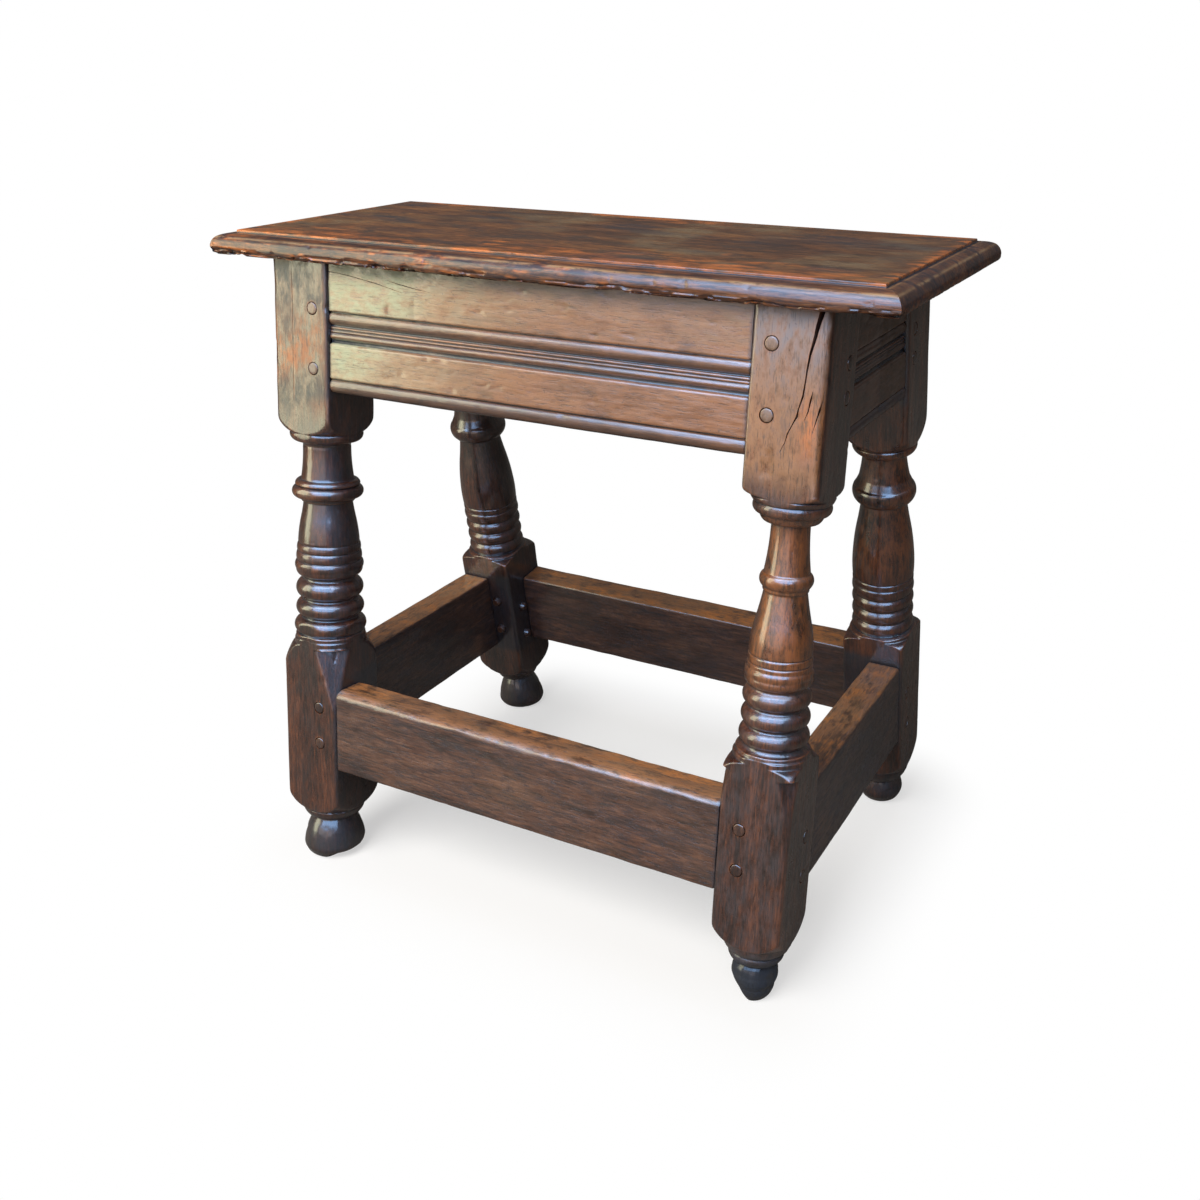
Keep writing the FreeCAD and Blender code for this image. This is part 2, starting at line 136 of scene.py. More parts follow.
# Turned outlines: height as a share of the turned length, radius as a share of half the leg's
# square, and the bulge of the stretch above as a share of that stretch, hollow where negative
bold_turning_shares = (
    (-0.050, 1.43, 0.04), (0.049, 1.13, 0), (0.053, 1.08, 0), (0.072, 1.07, 0),
    (0.075, 1.04, 0), (0.090, 1.04, 0), (0.096, 0.95, 0.36), (0.156, 0.86, -0.25),
    (0.167, 0.86, 0.33), (0.232, 0.84, -0.25), (0.243, 0.84, 0.30), (0.317, 0.82, -0.20),
    (0.332, 0.82, 0.20), (0.360, 0.985, 0.15), (0.393, 0.975, 0), (0.396, 0.935, 0),
    (0.400, 0.965, 0.06), (0.431, 0.945, 0), (0.434, 0.910, 0), (0.438, 0.940, 0.06),
    (0.464, 0.920, 0), (0.467, 0.885, 0), (0.471, 0.905, 0.02), (0.573, 0.795, -0.01),
    (0.636, 0.715, 0), (0.636, 0.780, 0), (0.650, 0.780, 0), (0.650, 0.820, 0.50),
    (0.700, 0.880, 0), (0.703, 0.950, 0.15), (0.722, 0.860, 0), (0.722, 0.790, 0),
    (0.730, 0.765, -0.02), (0.852, 0.697, -0.25), (0.876, 0.820, 0), (0.876, 0.900, 0.18),
    (0.908, 1.060, 0), (0.911, 1.030, 0), (0.915, 1.075, 0.12), (1.000, 1.43, 0),
)
slim_turning_shares = (
    (0.000, 1.43, 0.14), (0.048, 1.12, 0), (0.051, 1.07, 0), (0.068, 1.06, 0),
    (0.071, 1.01, 0), (0.084, 0.99, -0.20), (0.101, 0.83, 0.28), (0.159, 0.80, -0.25),
    (0.170, 0.80, 0.27), (0.229, 0.79, -0.25), (0.240, 0.79, 0.27), (0.299, 0.79, -0.20),
    (0.311, 0.79, 0.20), (0.345, 0.885, 0.10), (0.369, 0.885, 0), (0.373, 0.855, 0),
    (0.388, 0.855, 0), (0.391, 0.815, 0), (0.394, 0.850, 0), (0.416, 0.840, 0),
    (0.419, 0.800, 0), (0.422, 0.835, 0.03), (0.532, 0.727, -0.01), (0.636, 0.565, 0),
    (0.639, 0.600, 0), (0.650, 0.600, 0.22), (0.696, 0.640, 0), (0.699, 0.600, 0),
    (0.710, 0.590, -0.02), (0.870, 0.500, 0), (0.872, 0.700, 0.10), (0.900, 0.830, 0),
    (0.900, 0.900, 0.20), (0.934, 0.990, 0), (0.937, 0.970, 0), (0.941, 1.020, 0),
    (0.956, 1.090, 0), (0.959, 1.060, 0), (0.963, 1.110, 0.15), (1.000, 1.43, 0),
)
back_turning_shares = (
    (0.000, 1.43, 0.14), (0.028, 1.12, 0), (0.031, 1.07, 0), (0.040, 1.06, 0),
    (0.048, 0.90, 0.22), (0.098, 0.89, -0.25), (0.106, 0.89, 0.22), (0.156, 0.89, -0.25),
    (0.164, 0.89, 0.22), (0.214, 0.89, -0.20), (0.222, 0.93, 0.10), (0.262, 0.955, 0),
    (0.265, 0.920, 0), (0.268, 0.955, 0), (0.290, 0.960, 0), (0.293, 0.925, 0),
    (0.297, 0.955, 0.02), (0.400, 0.950, 0.015), (0.520, 0.835, -0.01), (0.627, 0.700, 0),
    (0.630, 0.800, 0), (0.640, 0.870, 0.16), (0.700, 0.920, 0), (0.703, 0.890, 0),
    (0.735, 0.775, -0.02), (0.830, 0.660, -0.20), (0.845, 0.780, 0), (0.848, 0.840, 0.18),
    (0.880, 0.970, 0), (0.883, 0.940, 0), (0.895, 1.030, 0.12), (1.000, 1.43, 0),
)

# Feet, with heights as shares of the height of the lower block's foot
bold_foot_shares = (
    (0.000, 0.67, 0.12), (0.080, 0.89, 0.10), (0.150, 0.935, 0.05), (0.500, 0.66, 0),
    (0.510, 0.74, 0.12), (0.640, 0.96, 0), (0.652, 0.94, 0), (0.664, 0.975, 0.15),
    (1.000, 1.43, 0),
)
worn_foot_shares = (
    (0.000, 0.42, 0.12), (0.160, 0.58, 0.12), (0.300, 0.63, 0.10), (0.430, 0.51, 0),
    (0.440, 0.62, 0.15), (0.560, 0.78, 0), (0.575, 0.75, 0), (0.590, 0.80, 0.12),
    (0.720, 0.98, 0.10), (1.000, 1.43, 0),
)
thick_foot_shares = (
    (0.000, 0.64, 0.14), (0.070, 0.83, 0.10), (0.140, 0.85, 0.05), (0.540, 0.51, 0),
    (0.550, 0.61, 0.12), (0.690, 0.80, 0), (0.702, 0.78, 0), (0.714, 0.82, 0.12),
    (1.000, 1.43, 0),
)
thin_foot_shares = (
    (0.000, 0.46, 0.14), (0.080, 0.66, 0.10), (0.200, 0.74, 0.05), (0.410, 0.57, 0),
    (0.420, 0.70, 0.10), (0.640, 0.94, 0), (0.652, 0.92, 0), (0.664, 0.96, 0.12),
    (1.000, 1.43, 0),
)

# Which outlines each leg has
turning_shares = {
    "front_left": bold_turning_shares,
    "front_right": slim_turning_shares,
    "back_left": back_turning_shares,
    "back_right": back_turning_shares,
}
foot_shares = {
    "front_left": bold_foot_shares,
    "front_right": worn_foot_shares,
    "back_left": thick_foot_shares,
    "back_right": thin_foot_shares,
}

# The aprons' moulded face: height as a share of the apron's height, depth as a share of the relief,
# and the bulge of the stretch above
apron_face_shares = (
    (0.000, 1.20, 0.25), (0.100, 0.35, 0), (0.104, 0.75, 0), (0.110, 0.75, 0),
    (0.114, 0.00, 0), (0.373, 0.00, 0), (0.383, 0.35, 0), (0.387, 0.90, 0),
    (0.412, 0.90, 0), (0.415, 0.75, 0.35), (0.463, 0.75, 0), (0.468, 0.45, 0),
    (0.481, 0.45, 0), (0.485, 0.75, 0), (0.489, 0.75, 0), (0.493, 0.45, 0),
    (0.507, 0.45, 0), (0.511, 1.00, 0), (0.523, 1.00, 0), (0.526, 0.75, 0.22),
    (0.612, 0.55, 0), (0.615, 0.80, 0), (0.621, 0.80, 0), (0.625, 0.00, 0),
    (1.000, 0.00, 0),
)


# Noise

def lattice_value(cells, seed):
    """A fixed random value in [-1, 1] for each whole-numbered cell."""
    mixed = cells[..., 0] * 374761393 + cells[..., 1] * 668265263 + cells[..., 2] * 974634777
    mixed = (mixed + seed * 1274126177) & 0xFFFFFFFF
    mixed = ((mixed ^ (mixed >> 13)) * 1274126177) & 0xFFFFFFFF
    mixed = mixed ^ (mixed >> 16)
    return mixed / 0x7FFFFFFF - 1.0


def noise(points, size, seed):
    """Smooth noise in [-1, 1]. The size of a cell is one length, or one for each axis."""
    scaled = points / np.array(size, float)
    whole = np.floor(scaled).astype(np.int64)
    part = scaled - whole
    part = part * part * (3 - 2 * part)
    total = np.zeros(points.shape[:-1])
    for i in (0, 1):
        for j in (0, 1):
            for k in (0, 1):
                weight = (
                    (part[..., 0] if i else 1 - part[..., 0])
                    * (part[..., 1] if j else 1 - part[..., 1])
                    * (part[..., 2] if k else 1 - part[..., 2])
                )
                total += weight * lattice_value(whole + np.array((i, j, k)), seed)
    return total


def fractal(points, size, seed, octaves=3):
    """Noise with finer noise laid over it, still about [-1, 1]."""
    size = np.array(size, float)
    total = np.zeros(points.shape[:-1])
    reach = 0.0
    for octave in range(octaves):
        strength = 0.5 ** octave
        total += strength * noise(points, size * strength, seed + 17 * octave)
        reach += strength
    return total / reach


def above(values, threshold, softness):
    """0 below the threshold, rising smoothly to 1 over the softness."""
    t = np.clip((values - threshold) / softness, 0, 1)
    return t * t * (3 - 2 * t)


def near(distance, reach):
    """1 at no distance, falling smoothly to 0 at the reach."""
    return 1 - above(np.abs(distance), 0, reach)


# Outlines

def outline_points(rows, step):
    """The (height, radius) points along an outline of (height, radius, bulge) rows."""
    points = [np.array(rows[0][:2], float)]
    for (h0, r0, bulge), (h1, r1, _) in zip(rows, rows[1:]):
        start, end = np.array((h0, r0), float), np.array((h1, r1), float)
        chord = end - start
        length = np.hypot(*chord)
        count = max(1, math.ceil(length / step))
        if bulge == 0:
            points += [start + chord * i / count for i in range(1, count + 1)]
            continue
        count = max(5, count)
        half_angle = 2 * math.atan(2 * bulge)
        radius = length / 2 / math.sin(half_angle)
        aside = np.array((-chord[1], chord[0])) / length
        for i in range(1, count + 1):
            angle = half_angle * (2 * i / count - 1)
            rise_off = radius * (math.cos(angle) - math.cos(half_angle))
            along = radius * math.sin(angle) / length
            points.append((start + end) / 2 + chord * along + aside * rise_off)
    return np.array(points)


def eased(points):
    """An open outline with its corners rubbed down a little."""
    points = points.copy()
    points[1:-1] = points[1:-1] / 2 + (points[:-2] + points[2:]) / 4
    return points


# Places

def rise(height, out=0.0):
    """Distance up a leg's axis to a height above the floor, met at a distance out from the axis."""
    return (height - out * math.sin(rake)) / math.cos(rake)


def leaned(points, half_turns=0):
    """From the frame of the front legs, where Z runs up a leg, to the stool's."""
    x, y, z = points[..., 0], points[..., 1], points[..., 2]
    across = y * math.cos(rake) + z * math.sin(rake) - floor_spread / 2
    up = z * math.cos(rake) - y * math.sin(rake)
    sign = -1.0 if half_turns else 1.0
    return np.stack([x * sign, across * sign, up], axis=-1)


def upright(points, half_turns=0):
    """The other way round: from the stool's frame to that of the front legs."""
    sign = -1.0 if half_turns else 1.0
    x = points[..., 0] * sign
    y = points[..., 1] * sign + floor_spread / 2
    z = points[..., 2]
    across = y * math.cos(rake) - z * math.sin(rake)
    up = y * math.sin(rake) + z * math.cos(rake)
    return np.stack([x, across, up], axis=-1)


# Heights of the long rails up a leg, in the frame of the front legs
apron_low = rise(apron_foot, half_leg - apron_setback)
apron_high = rise(frame_height, half_leg - apron_setback)
apron_high_at_back = rise(frame_height, half_leg - apron_setback - apron_thickness)
stretcher_low = rise(long_stretcher_foot, half_leg - stretcher_setback)
stretcher_high = rise(long_stretcher_head, half_leg - stretcher_setback)


# Meshes

def mesh_object(name, points, faces):
    """A mesh object from points in millimetres."""
    mesh = bpy.data.meshes.new(name)
    mesh.from_pydata([tuple(p) for p in np.asarray(points) * MM], [], faces)
    mesh.update()
    made = bpy.data.objects.new(name, mesh)
    bpy.context.scene.collection.objects.link(made)
    return made


def tube_faces(rows, columns):
    """Quads over a grid of points whose columns close on themselves."""
    faces = []
    for i in range(rows - 1):
        low, high = i * columns, (i + 1) * columns
        for j in range(columns):
            k = (j + 1) % columns
            faces.append((low + j, low + k, high + k, high + j))
    return faces


def capped_tube(name, grid):
    """A closed mesh from a grid of rows of points, each row a ring, with a fan on each end."""
    rows, columns = grid.shape[:2]
    points = grid.reshape(-1, 3)
    centres = np.array([grid[0].mean(axis=0), grid[-1].mean(axis=0)])
    faces = tube_faces(rows, columns)
    first, last = rows * columns, rows * columns + 1
    top = (rows - 1) * columns
    for j in range(columns):
        k = (j + 1) % columns
        faces.append((first, k, j))
        faces.append((last, top + j, top + k))
    return mesh_object(name, np.vstack([points, centres]), faces)


def brick(name, low, high, place):
    """A closed box between two corners in millimetres, put in place by a function."""
    grid = np.array([
        [(low[0], low[1], z), (high[0], low[1], z), (high[0], high[1], z), (low[0], high[1], z)]
        for z in (low[2], high[2])
    ], float)
    return capped_tube(name, place(grid))


def combine(target, tool, operation):
    """Cuts a closed mesh from another, or joins it on, and removes it."""
    modifier = target.modifiers.new(operation, "BOOLEAN")
    modifier.operation = operation
    modifier.solver = "MANIFOLD"
    modifier.object = tool
    depsgraph = bpy.context.evaluated_depsgraph_get()
    result = bpy.data.meshes.new_from_object(target.evaluated_get(depsgraph))
    target.modifiers.clear()
    old = target.data
    target.data = result
    bpy.data.meshes.remove(old)
    result.name = target.name
    bpy.data.objects.remove(tool)


def joined(name, parts):
    """One object from several closed meshes that don't touch."""
    points, faces = [], []
    for part in parts:
        offset = len(points)
        points += [v.co / MM for v in part.data.vertices]
        faces += [[offset + v for v in f.vertices] for f in part.data.polygons]
        bpy.data.objects.remove(part)
    return mesh_object(name, points, faces)


def outward(piece):
    """Turns a closed mesh's faces outwards, which the cuts need."""
    shape = bmesh.new()
    shape.from_mesh(piece.data)
    if shape.calc_volume(signed=True) < 0:
        bmesh.ops.reverse_faces(shape, faces=shape.faces)
        shape.to_mesh(piece.data)
    shape.free()
    return piece


# Cuts and tenons, in the frame of the front legs or the stool's own

def long_tenons(name, foot, head, grow, end_gap, half_turns):
    """Both tenons of a long rail as one bar."""
    reach = shoulder + tenon_length + end_gap
    outer = -half_leg + tenon_setback
    low = (-reach, outer - grow, foot + tenon_margin - grow)
    high = (reach, outer + tenon_thickness + grow, head - tenon_margin + grow)
    return outward(brick(name, low, high, lambda grid: leaned(grid, half_turns)))


def half_gap(height, reach=0.0):
    """Half the distance between the side legs' facing sides at a height, and a reach into them."""
    return floor_spread / 2 - height * math.tan(rake) - (half_leg - reach) / math.cos(rake)


def side_tenons(name, foot, head, grow, end_gap, sign):
    """Both tenons of a side rail as one bar: the right-hand one, or with a sign of -1 the left."""
    outer = leg_reach - tenon_setback + grow
    inner = leg_reach - tenon_setback - tenon_thickness - grow
    grid = []
    for z in (foot + tenon_margin - grow, head - tenon_margin + grow):
        y = half_gap(z, tenon_length + end_gap)
        grid.append([(sign * x, sign * w, z) for x, w in ((inner, -y), (outer, -y), (outer, y), (inner, y))])
    return outward(capped_tube(name, np.array(grid, float)))


def lathe(name, rows, columns, place, radius_of=None):
    """A closed turned mesh from (height, radius) rows, put in place by a function."""
    angles = np.arange(columns) * 2 * math.pi / columns
    heights = rows[:, 0][:, None] + 0 * angles
    radii = rows[:, 1][:, None] + 0 * angles
    if radius_of:
        radii = radius_of(angles[None, :], heights, radii)
    grid = np.stack([radii * np.cos(angles), radii * np.sin(angles), heights], axis=-1)
    return outward(capped_tube(name, place(grid)))


def into_front(x, z, half_turns):
    """Takes a shape along +Z from an outer face at Z = 0 into the long rail's side of a leg."""
    def place(grid):
        local = np.stack([grid[..., 0] + x, grid[..., 2] - half_leg, z - grid[..., 1]], axis=-1)
        return leaned(local, half_turns)
    return place


def into_side(end, y, z, half_turns):
    """The same for the outer end side of a leg."""
    def place(grid):
        local = np.stack([end * (leg_reach - grid[..., 2]), grid[..., 0] + y, grid[..., 1] + z], axis=-1)
        return leaned(local, half_turns)
    return place


def peg_places(corner):
    """Where the pegs of a leg go: for each rail that enters it, two placing functions."""
    end, half_turns = corners[corner]
    drift = peg_drift_shares[corner] * peg_radius
    upper, lower = [rise(frame_height - depth + drift, half_leg) for depth in apron_pegs_under_board]
    long_pegs = [rise(long_stretcher_head - depth, half_leg) for depth in stretcher_pegs_under_head]
    side_pegs = [
        rise(side_stretcher_head - depth, half_leg) - stretcher_peg_stagger
        for depth in stretcher_pegs_under_head
    ]
    apron_x = end * (shoulder + apron_peg_inset)
    stretcher_x = end * (shoulder + stretcher_peg_inset)
    side_apron_y = half_leg - apron_peg_inset
    side_stretcher_y = half_leg - stretcher_peg_inset
    side_apron = (upper - apron_peg_stagger, lower + apron_peg_stagger)
    return {
        "long_apron": [into_front(apron_x, z, half_turns) for z in (upper, lower)],
        "long_stretcher": [into_front(stretcher_x, z, half_turns) for z in long_pegs],
        "side_apron": [into_side(end, side_apron_y, z, half_turns) for z in side_apron],
        "side_stretcher": [into_side(end, side_stretcher_y, z, half_turns) for z in side_pegs],
    }


# A peg hole flares a little where it breaks out of the wood, and runs on into the air
peg_hole_overrun = 4.0
peg_hole_lip = 0.6
peg_hole_rows = np.array([
    (-peg_hole_overrun, peg_hole_radius + 0.3),
    (0.0, peg_hole_radius + 0.12),
    (peg_hole_lip, peg_hole_radius),
    (leg_square - 1.0, peg_hole_radius),
    (leg_square + peg_hole_overrun, peg_hole_radius + 0.5),
])
peg_hole_sides = 28


def owner_of(corner, rail):
    """The rail that a leg's pegs belong to."""
    front_or_back, left_or_right = corner.split("_")
    run, kind = rail.split("_")
    return (front_or_back if run == "long" else left_or_right) + "_" + kind


# The legs

leg_side_columns = 42
leg_block_step = 2.2
leg_turned_step = 0.75
clear_radius = 2 * leg_square
noise_radius = 60
blend = 0.45


def ring_angles():
    """Angles round a leg, closer together at its arrises. They start from the leg's +X side."""
    share = 2 * np.arange(leg_side_columns) / leg_side_columns - 1
    side = np.arctan(share + 0.12 * np.sin(math.pi * share))
    return np.concatenate([side + quarter * math.pi / 2 for quarter in range(4)])


def leg_rows(corner):
    """The (height, radius) rows of a leg's round form, far outside the square along its blocks."""
    block_foot, block_head = rise(lower_block_foot), rise(lower_block_head)
    upper_foot, top = rise(upper_block_foot), rise(frame_height)
    foot = [
        (share * block_foot, radius * half_leg, bulge)
        for share, radius, bulge in foot_shares[corner]
    ]
    length = upper_foot - block_head
    middle = [
        (block_head + share * length, radius * half_leg, bulge)
        for share, radius, bulge in turning_shares[corner]
    ]
    pieces = [
        outline_points(foot, leg_turned_step),
        outline_points([(block_foot, clear_radius, 0), (middle[0][0], clear_radius, 0)], leg_block_step),
        outline_points(middle, leg_turned_step),
        outline_points([(upper_foot, clear_radius, 0), (top, clear_radius, 0)], leg_block_step),
    ]
    pieces = [eased(piece) for piece in pieces]
    return np.vstack([piece[:-1] for piece in pieces[:-1]] + [pieces[-1]])


def square_radius(angles, cut):
    """Distance to the side of the square stock, with its arrises rubbed down by a cut."""
    corner = half_leg * math.sqrt(2)
    power = -math.log(2) / np.log(1 - cut / corner)
    spread = np.abs(np.cos(angles)) ** power + np.abs(np.sin(angles)) ** power
    return half_leg / spread ** (1 / power)


def leg(corner):
    """One leg: a stick of square oak, turned between its blocks, worn all over."""
    end, half_turns = corners[corner]
    seed = 100 * (1 + list(corners).index(corner))
    rows = leg_rows(corner)
    angles = ring_angles()[None, :]
    heights = rows[:, :1] + 0 * angles
    turned_radii = rows[:, 1:] + 0 * angles
    compass = np.stack([
        noise_radius * np.cos(angles) + 0 * heights, noise_radius * np.sin(angles) + 0 * heights, heights,
    ], axis=-1)

    # The arrises are rubbed unevenly
    rubbed = 0.9 + 1.1 * above(fractal(compass, (70, 70, 55), seed + 1), -0.1, 0.9)
    rubbed += 1.2 * above(fractal(compass, (30, 30, 16), seed + 2), 0.35, 0.3)
    square = square_radius(angles, leg_damage(corner, angles, heights, rubbed))
    radii = -blend * np.logaddexp(-square / blend, -turned_radii / blend)
    for limit in worn_flats(corner, angles, heights):
        radii = -blend * np.logaddexp(-radii / blend, -limit / blend)

    # Hand work, wear and knocks
    block = above(turned_radii - square, 0, 3)
    around = np.stack([radii * np.cos(angles), radii * np.sin(angles), heights], axis=-1)
    radii = radii + (0.12 + 0.28 * block) * fractal(around, (32, 32, 80), seed + 3)
    radii += (0.03 + 0.05 * block) * fractal(around, (2.0, 2.0, 26), seed + 4, 3)
    radii -= 0.30 * above(fractal(around, (9, 9, 13), seed + 5), 0.42, 0.3)
    radii += foot_damage(heights, around, seed)

    x, y = radii * np.cos(angles), radii * np.sin(angles)
    axis_x = end * leg_spacing / 2
    top, upper_foot = rise(frame_height), rise(upper_block_foot)
    reach = (frame_height + y * math.sin(rake)) / math.cos(rake)
    high = upper_foot + (heights - upper_foot) * (reach - upper_foot) / (top - upper_foot)
    ankle = rise(lower_block_foot) / 3
    floor = y * math.tan(rake)
    low = floor + heights * (ankle - floor) / ankle
    heights = np.where(heights > upper_foot, high, np.where(heights < ankle, low, heights))
    grid = leaned(np.stack([x + axis_x, y, heights], axis=-1), half_turns)
    piece = outward(capped_tube(corner + "_leg_oak", grid))

    for cutter in leg_cutters(corner):
        combine(piece, cutter, "DIFFERENCE")
    return piece


def side_angle(angles, centre):
    """How far round from a direction, in degrees, from -180 to 180."""
    return np.degrees((angles - math.radians(centre) + math.pi) % (2 * math.pi) - math.pi)


def leg_damage(corner, angles, heights, rubbed):
    """How far the arrises of one leg are rubbed down. The front right one has lost more."""
    if corner != "front_right":
        return rubbed
    upper = above(heights, rise(upper_block_foot) - 10, 20)
    return rubbed + 1.6 * upper * near(side_angle(angles, -45), 40)


# Flats worn or pared on the legs: a direction round the leg in degrees, from its +X side, and how far
# out the flat is, as a share of half the leg's square, at each height
flats = {
    "front_left": (
        (-45, ((60, 1.37), (142, 1.37), (194, 0.90), (195.5, 1.5))),
        (-135, ((60, 1.38), (178, 1.38), (183, 1.5))),
        (-25, ((0, 0.52), (5, 0.70), (8, 1.5))),
    ),
    "front_right": (
        (-45, ((60, 1.37), (130, 1.34), (165, 1.27), (187, 1.12), (191, 1.5))),
        (-45, ((386, 1.5), (392, 1.34), (470, 1.32), (515, 1.36))),
        (-135, ((60, 1.38), (165, 1.37), (187, 1.22), (191, 1.5))),
        (-153, ((0, 0.14), (20, 0.72), (24, 1.5))),
    ),
    "back_left": ((45, ((60, 1.37), (190, 1.37))), (135, ((60, 1.37), (190, 1.37)))),
    "back_right": (
        (135, ((60, 1.37), (190, 1.37))),
        (-135, ((60, 1.36), (190, 1.36))),
        (180, ((0, 1.5), (489, 1.5), (490, 0.89), (540, 0.89))),
    ),
}


def worn_flats(corner, angles, heights):
    """How far out each of a leg's flats lets it reach."""
    for direction, rows in flats[corner]:
        reach = half_leg * np.interp(heights, *zip(*rows))
        aside = np.radians(np.clip(np.abs(side_angle(angles, direction)), 0, 80))
        yield reach / np.cos(aside)


def foot_damage(heights, around, seed):
    """What a turned foot has lost."""
    low = 1 - above(heights / rise(lower_block_foot), 0.55, 0.25)
    change = low * 0.5 * fractal(around, (16, 16, 12), seed + 6)
    return change - low * 0.8 * above(fractal(around, (14, 14, 9), seed + 7), 0.35, 0.4)


def leg_cutters(corner):
    """The mortises and peg holes of one leg, and its splits."""
    half_turns = corners[corner][1]
    side = 1 if corner.endswith("right") else -1
    slack = (tenon_clearance, mortise_end_gap)
    mortises = [
        long_tenons("cut", apron_low, apron_high, *slack, half_turns),
        long_tenons("cut", stretcher_low, stretcher_high, *slack, half_turns),
        side_tenons("cut", apron_foot, frame_height, *slack, side),
        side_tenons("cut", side_stretcher_foot, side_stretcher_head, *slack, side),
    ]
    holes = [
        lathe("cut", peg_hole_rows, peg_hole_sides, place)
        for places in peg_places(corner).values()
        for place in places
    ]
    cutters = [joined("cut", mortises), joined("cut", holes)]
    for path, widths, depths in splits.get(corner, ()):
        cutters.append(trench("cut", path, widths, depths, front_face_point(half_turns)))
    return cutters


# Splits

def front_face_point(half_turns, out=0.0):
    """Places (x, depth, height) on the front faces: depth goes in from the legs' outer face."""
    def place(x, depth, z):
        up = rise(z, half_leg)
        local = np.array([x, depth + out - half_leg, up])
        return leaned(local, half_turns)
    return place


split_overrun = 3.0


def trench(name, path, widths, depths, place):
    """A closed V-shaped cutter along a path, open to the outside of the face."""
    path = np.array(path, float)
    run = np.gradient(path, axis=0)
    run /= np.linalg.norm(run, axis=1)[:, None]
    aside = np.stack([-run[:, 1], run[:, 0]], axis=1)
    grid = []
    for (x, z), (ax, az), width, depth in zip(path, aside, widths, depths):
        half = width / 2
        left, right = (x + ax * half, z + az * half), (x - ax * half, z - az * half)
        ring = [
            place(left[0], -split_overrun, left[1]),
            place(left[0], 0, left[1]),
            place(x + ax * half / 3, depth, z + az * half / 3),
            place(x - ax * half / 3, depth, z - az * half / 3),
            place(right[0], 0, right[1]),
            place(right[0], -split_overrun, right[1]),
        ]
        grid.append(ring)
    return outward(capped_tube(name, np.array(grid)))


# For each split: a path of (x, z) points on a front face, and its width and its depth at each point
splits = {
    "front_right": (
        (
            ((227.6, 516.0), (226.1, 512.0), (223.4, 501.0), (222.0, 493.0), (219.6, 482.5),
             (218.3, 472.0), (217.8, 465.0), (216.9, 456.0), (214.6, 447.5), (213.9, 443.0),
             (210.6, 436.0), (208.3, 431.0), (206.9, 425.0), (204.1, 419.0)),
            (4.4, 3.9, 2.9, 2.3, 1.5, 1.1, 0.9, 1.2, 0.8, 1.3, 0.6, 0.9, 0.5, 0.2),
            (16.0, 16.0, 14.0, 12.0, 10.0, 9.0, 8.0, 7.0, 6.0, 5.0, 4.0, 3.0, 2.0, 1.0),
        ),
        (
            ((223.4, 459.5), (222.2, 453.0), (221.4, 447.0), (219.0, 440.5)),
            (0.3, 1.2, 0.7, 0.2),
            (1.0, 4.0, 3.0, 1.0),
        ),
        (
            ((230.2, 455.0), (228.8, 448.5), (227.8, 444.0), (225.4, 434.0)),
            (0.3, 1.5, 0.9, 0.2),
            (1.0, 4.0, 3.0, 1.0),
        ),
    ),
    "front_left": (
        (
            ((-212.9, 509.0), (-212.5, 480.0), (-212.9, 455.0), (-213.4, 430.0), (-213.8, 402.0)),
            (0.3, 0.5, 0.35, 0.45, 0.15),
            (1.0, 2.0, 1.5, 1.5, 0.5),
        ),
    ),
    "front_apron": (
        (
            ((-180.0, 504.5), (-168.0, 503.6), (-156.0, 502.4), (-142.0, 500.4), (-130.0, 498.6),
             (-106.6, 494.0)),
            (0.6, 0.5, 0.5, 0.45, 0.5, 0.15),
            (2.0, 2.0, 2.0, 2.0, 1.5, 0.5),
        ),
        (
            ((-122.5, 502.2), (-112.0, 500.2), (-103.8, 499.0), (-92.0, 497.4), (-80.8, 496.3)),
            (0.15, 0.5, 0.5, 0.45, 0.15),
            (0.5, 1.5, 2.0, 1.5, 0.5),
        ),
    ),
}


# Pegs

def peg_set(node):
    """The four pegs of one rail, riven and driven through, as one piece."""
    parts = []
    for corner in corners:
        for rail, places in peg_places(corner).items():
            if owner_of(corner, rail) + "_pegs" != node:
                continue
            for index, place in enumerate(places):
                seed = 40 * list(corners).index(corner) + 10 * index + len(node)
                parts.append(one_peg(seed, place))
    return joined(node + "_oak", parts)


def one_peg(seed, place):
    """A riven peg with a faceted shank, a hammered head and a whittled tip."""
    proud = peg_proud * (0.30 + 0.25 * lattice_value(np.array((seed, 3, 5)), seed))
    rows = np.array([
        (-proud - 0.06, peg_radius * 0.40),
        (-proud, peg_radius * 0.80),
        (0.15 - proud, peg_radius * 0.94),
        (0.5 - proud, peg_radius * 0.99),
        (1.2 - proud, peg_radius),
        (leg_square, peg_radius),
        (leg_square + peg_tip * 0.6, (peg_radius + peg_tip_radius) / 2),
        (leg_square + peg_tip, peg_tip_radius),
        (leg_square + peg_tip, peg_tip_radius * 0.4),
    ])

    def riven(angles, heights, radii):
        sides = 7 + seed % 3
        facet = np.cos(math.pi / sides) / np.cos((angles % (2 * math.pi / sides)) - math.pi / sides)
        uneven = noise(np.stack([np.cos(angles), np.sin(angles), 0 * angles], axis=-1), 0.8, seed)
        return radii * (0.45 * facet + 0.55 - 0.03 * (1 + uneven))

    return lathe("peg", rows, peg_hole_sides, place, riven)


# The rails

rail_step = 1.8
rail_end = 1.2
apron_hand = 0.35
stretcher_hand = 0.6


def normals_of(section):
    """The outward normals of a closed section of points, taken as running anticlockwise."""
    ahead = np.roll(section, -1, axis=0) - np.roll(section, 1, axis=0)
    ahead = ahead / np.maximum(np.linalg.norm(ahead, axis=1), 1e-9)[:, None]
    return np.stack([ahead[:, 1], -ahead[:, 0]], axis=1)


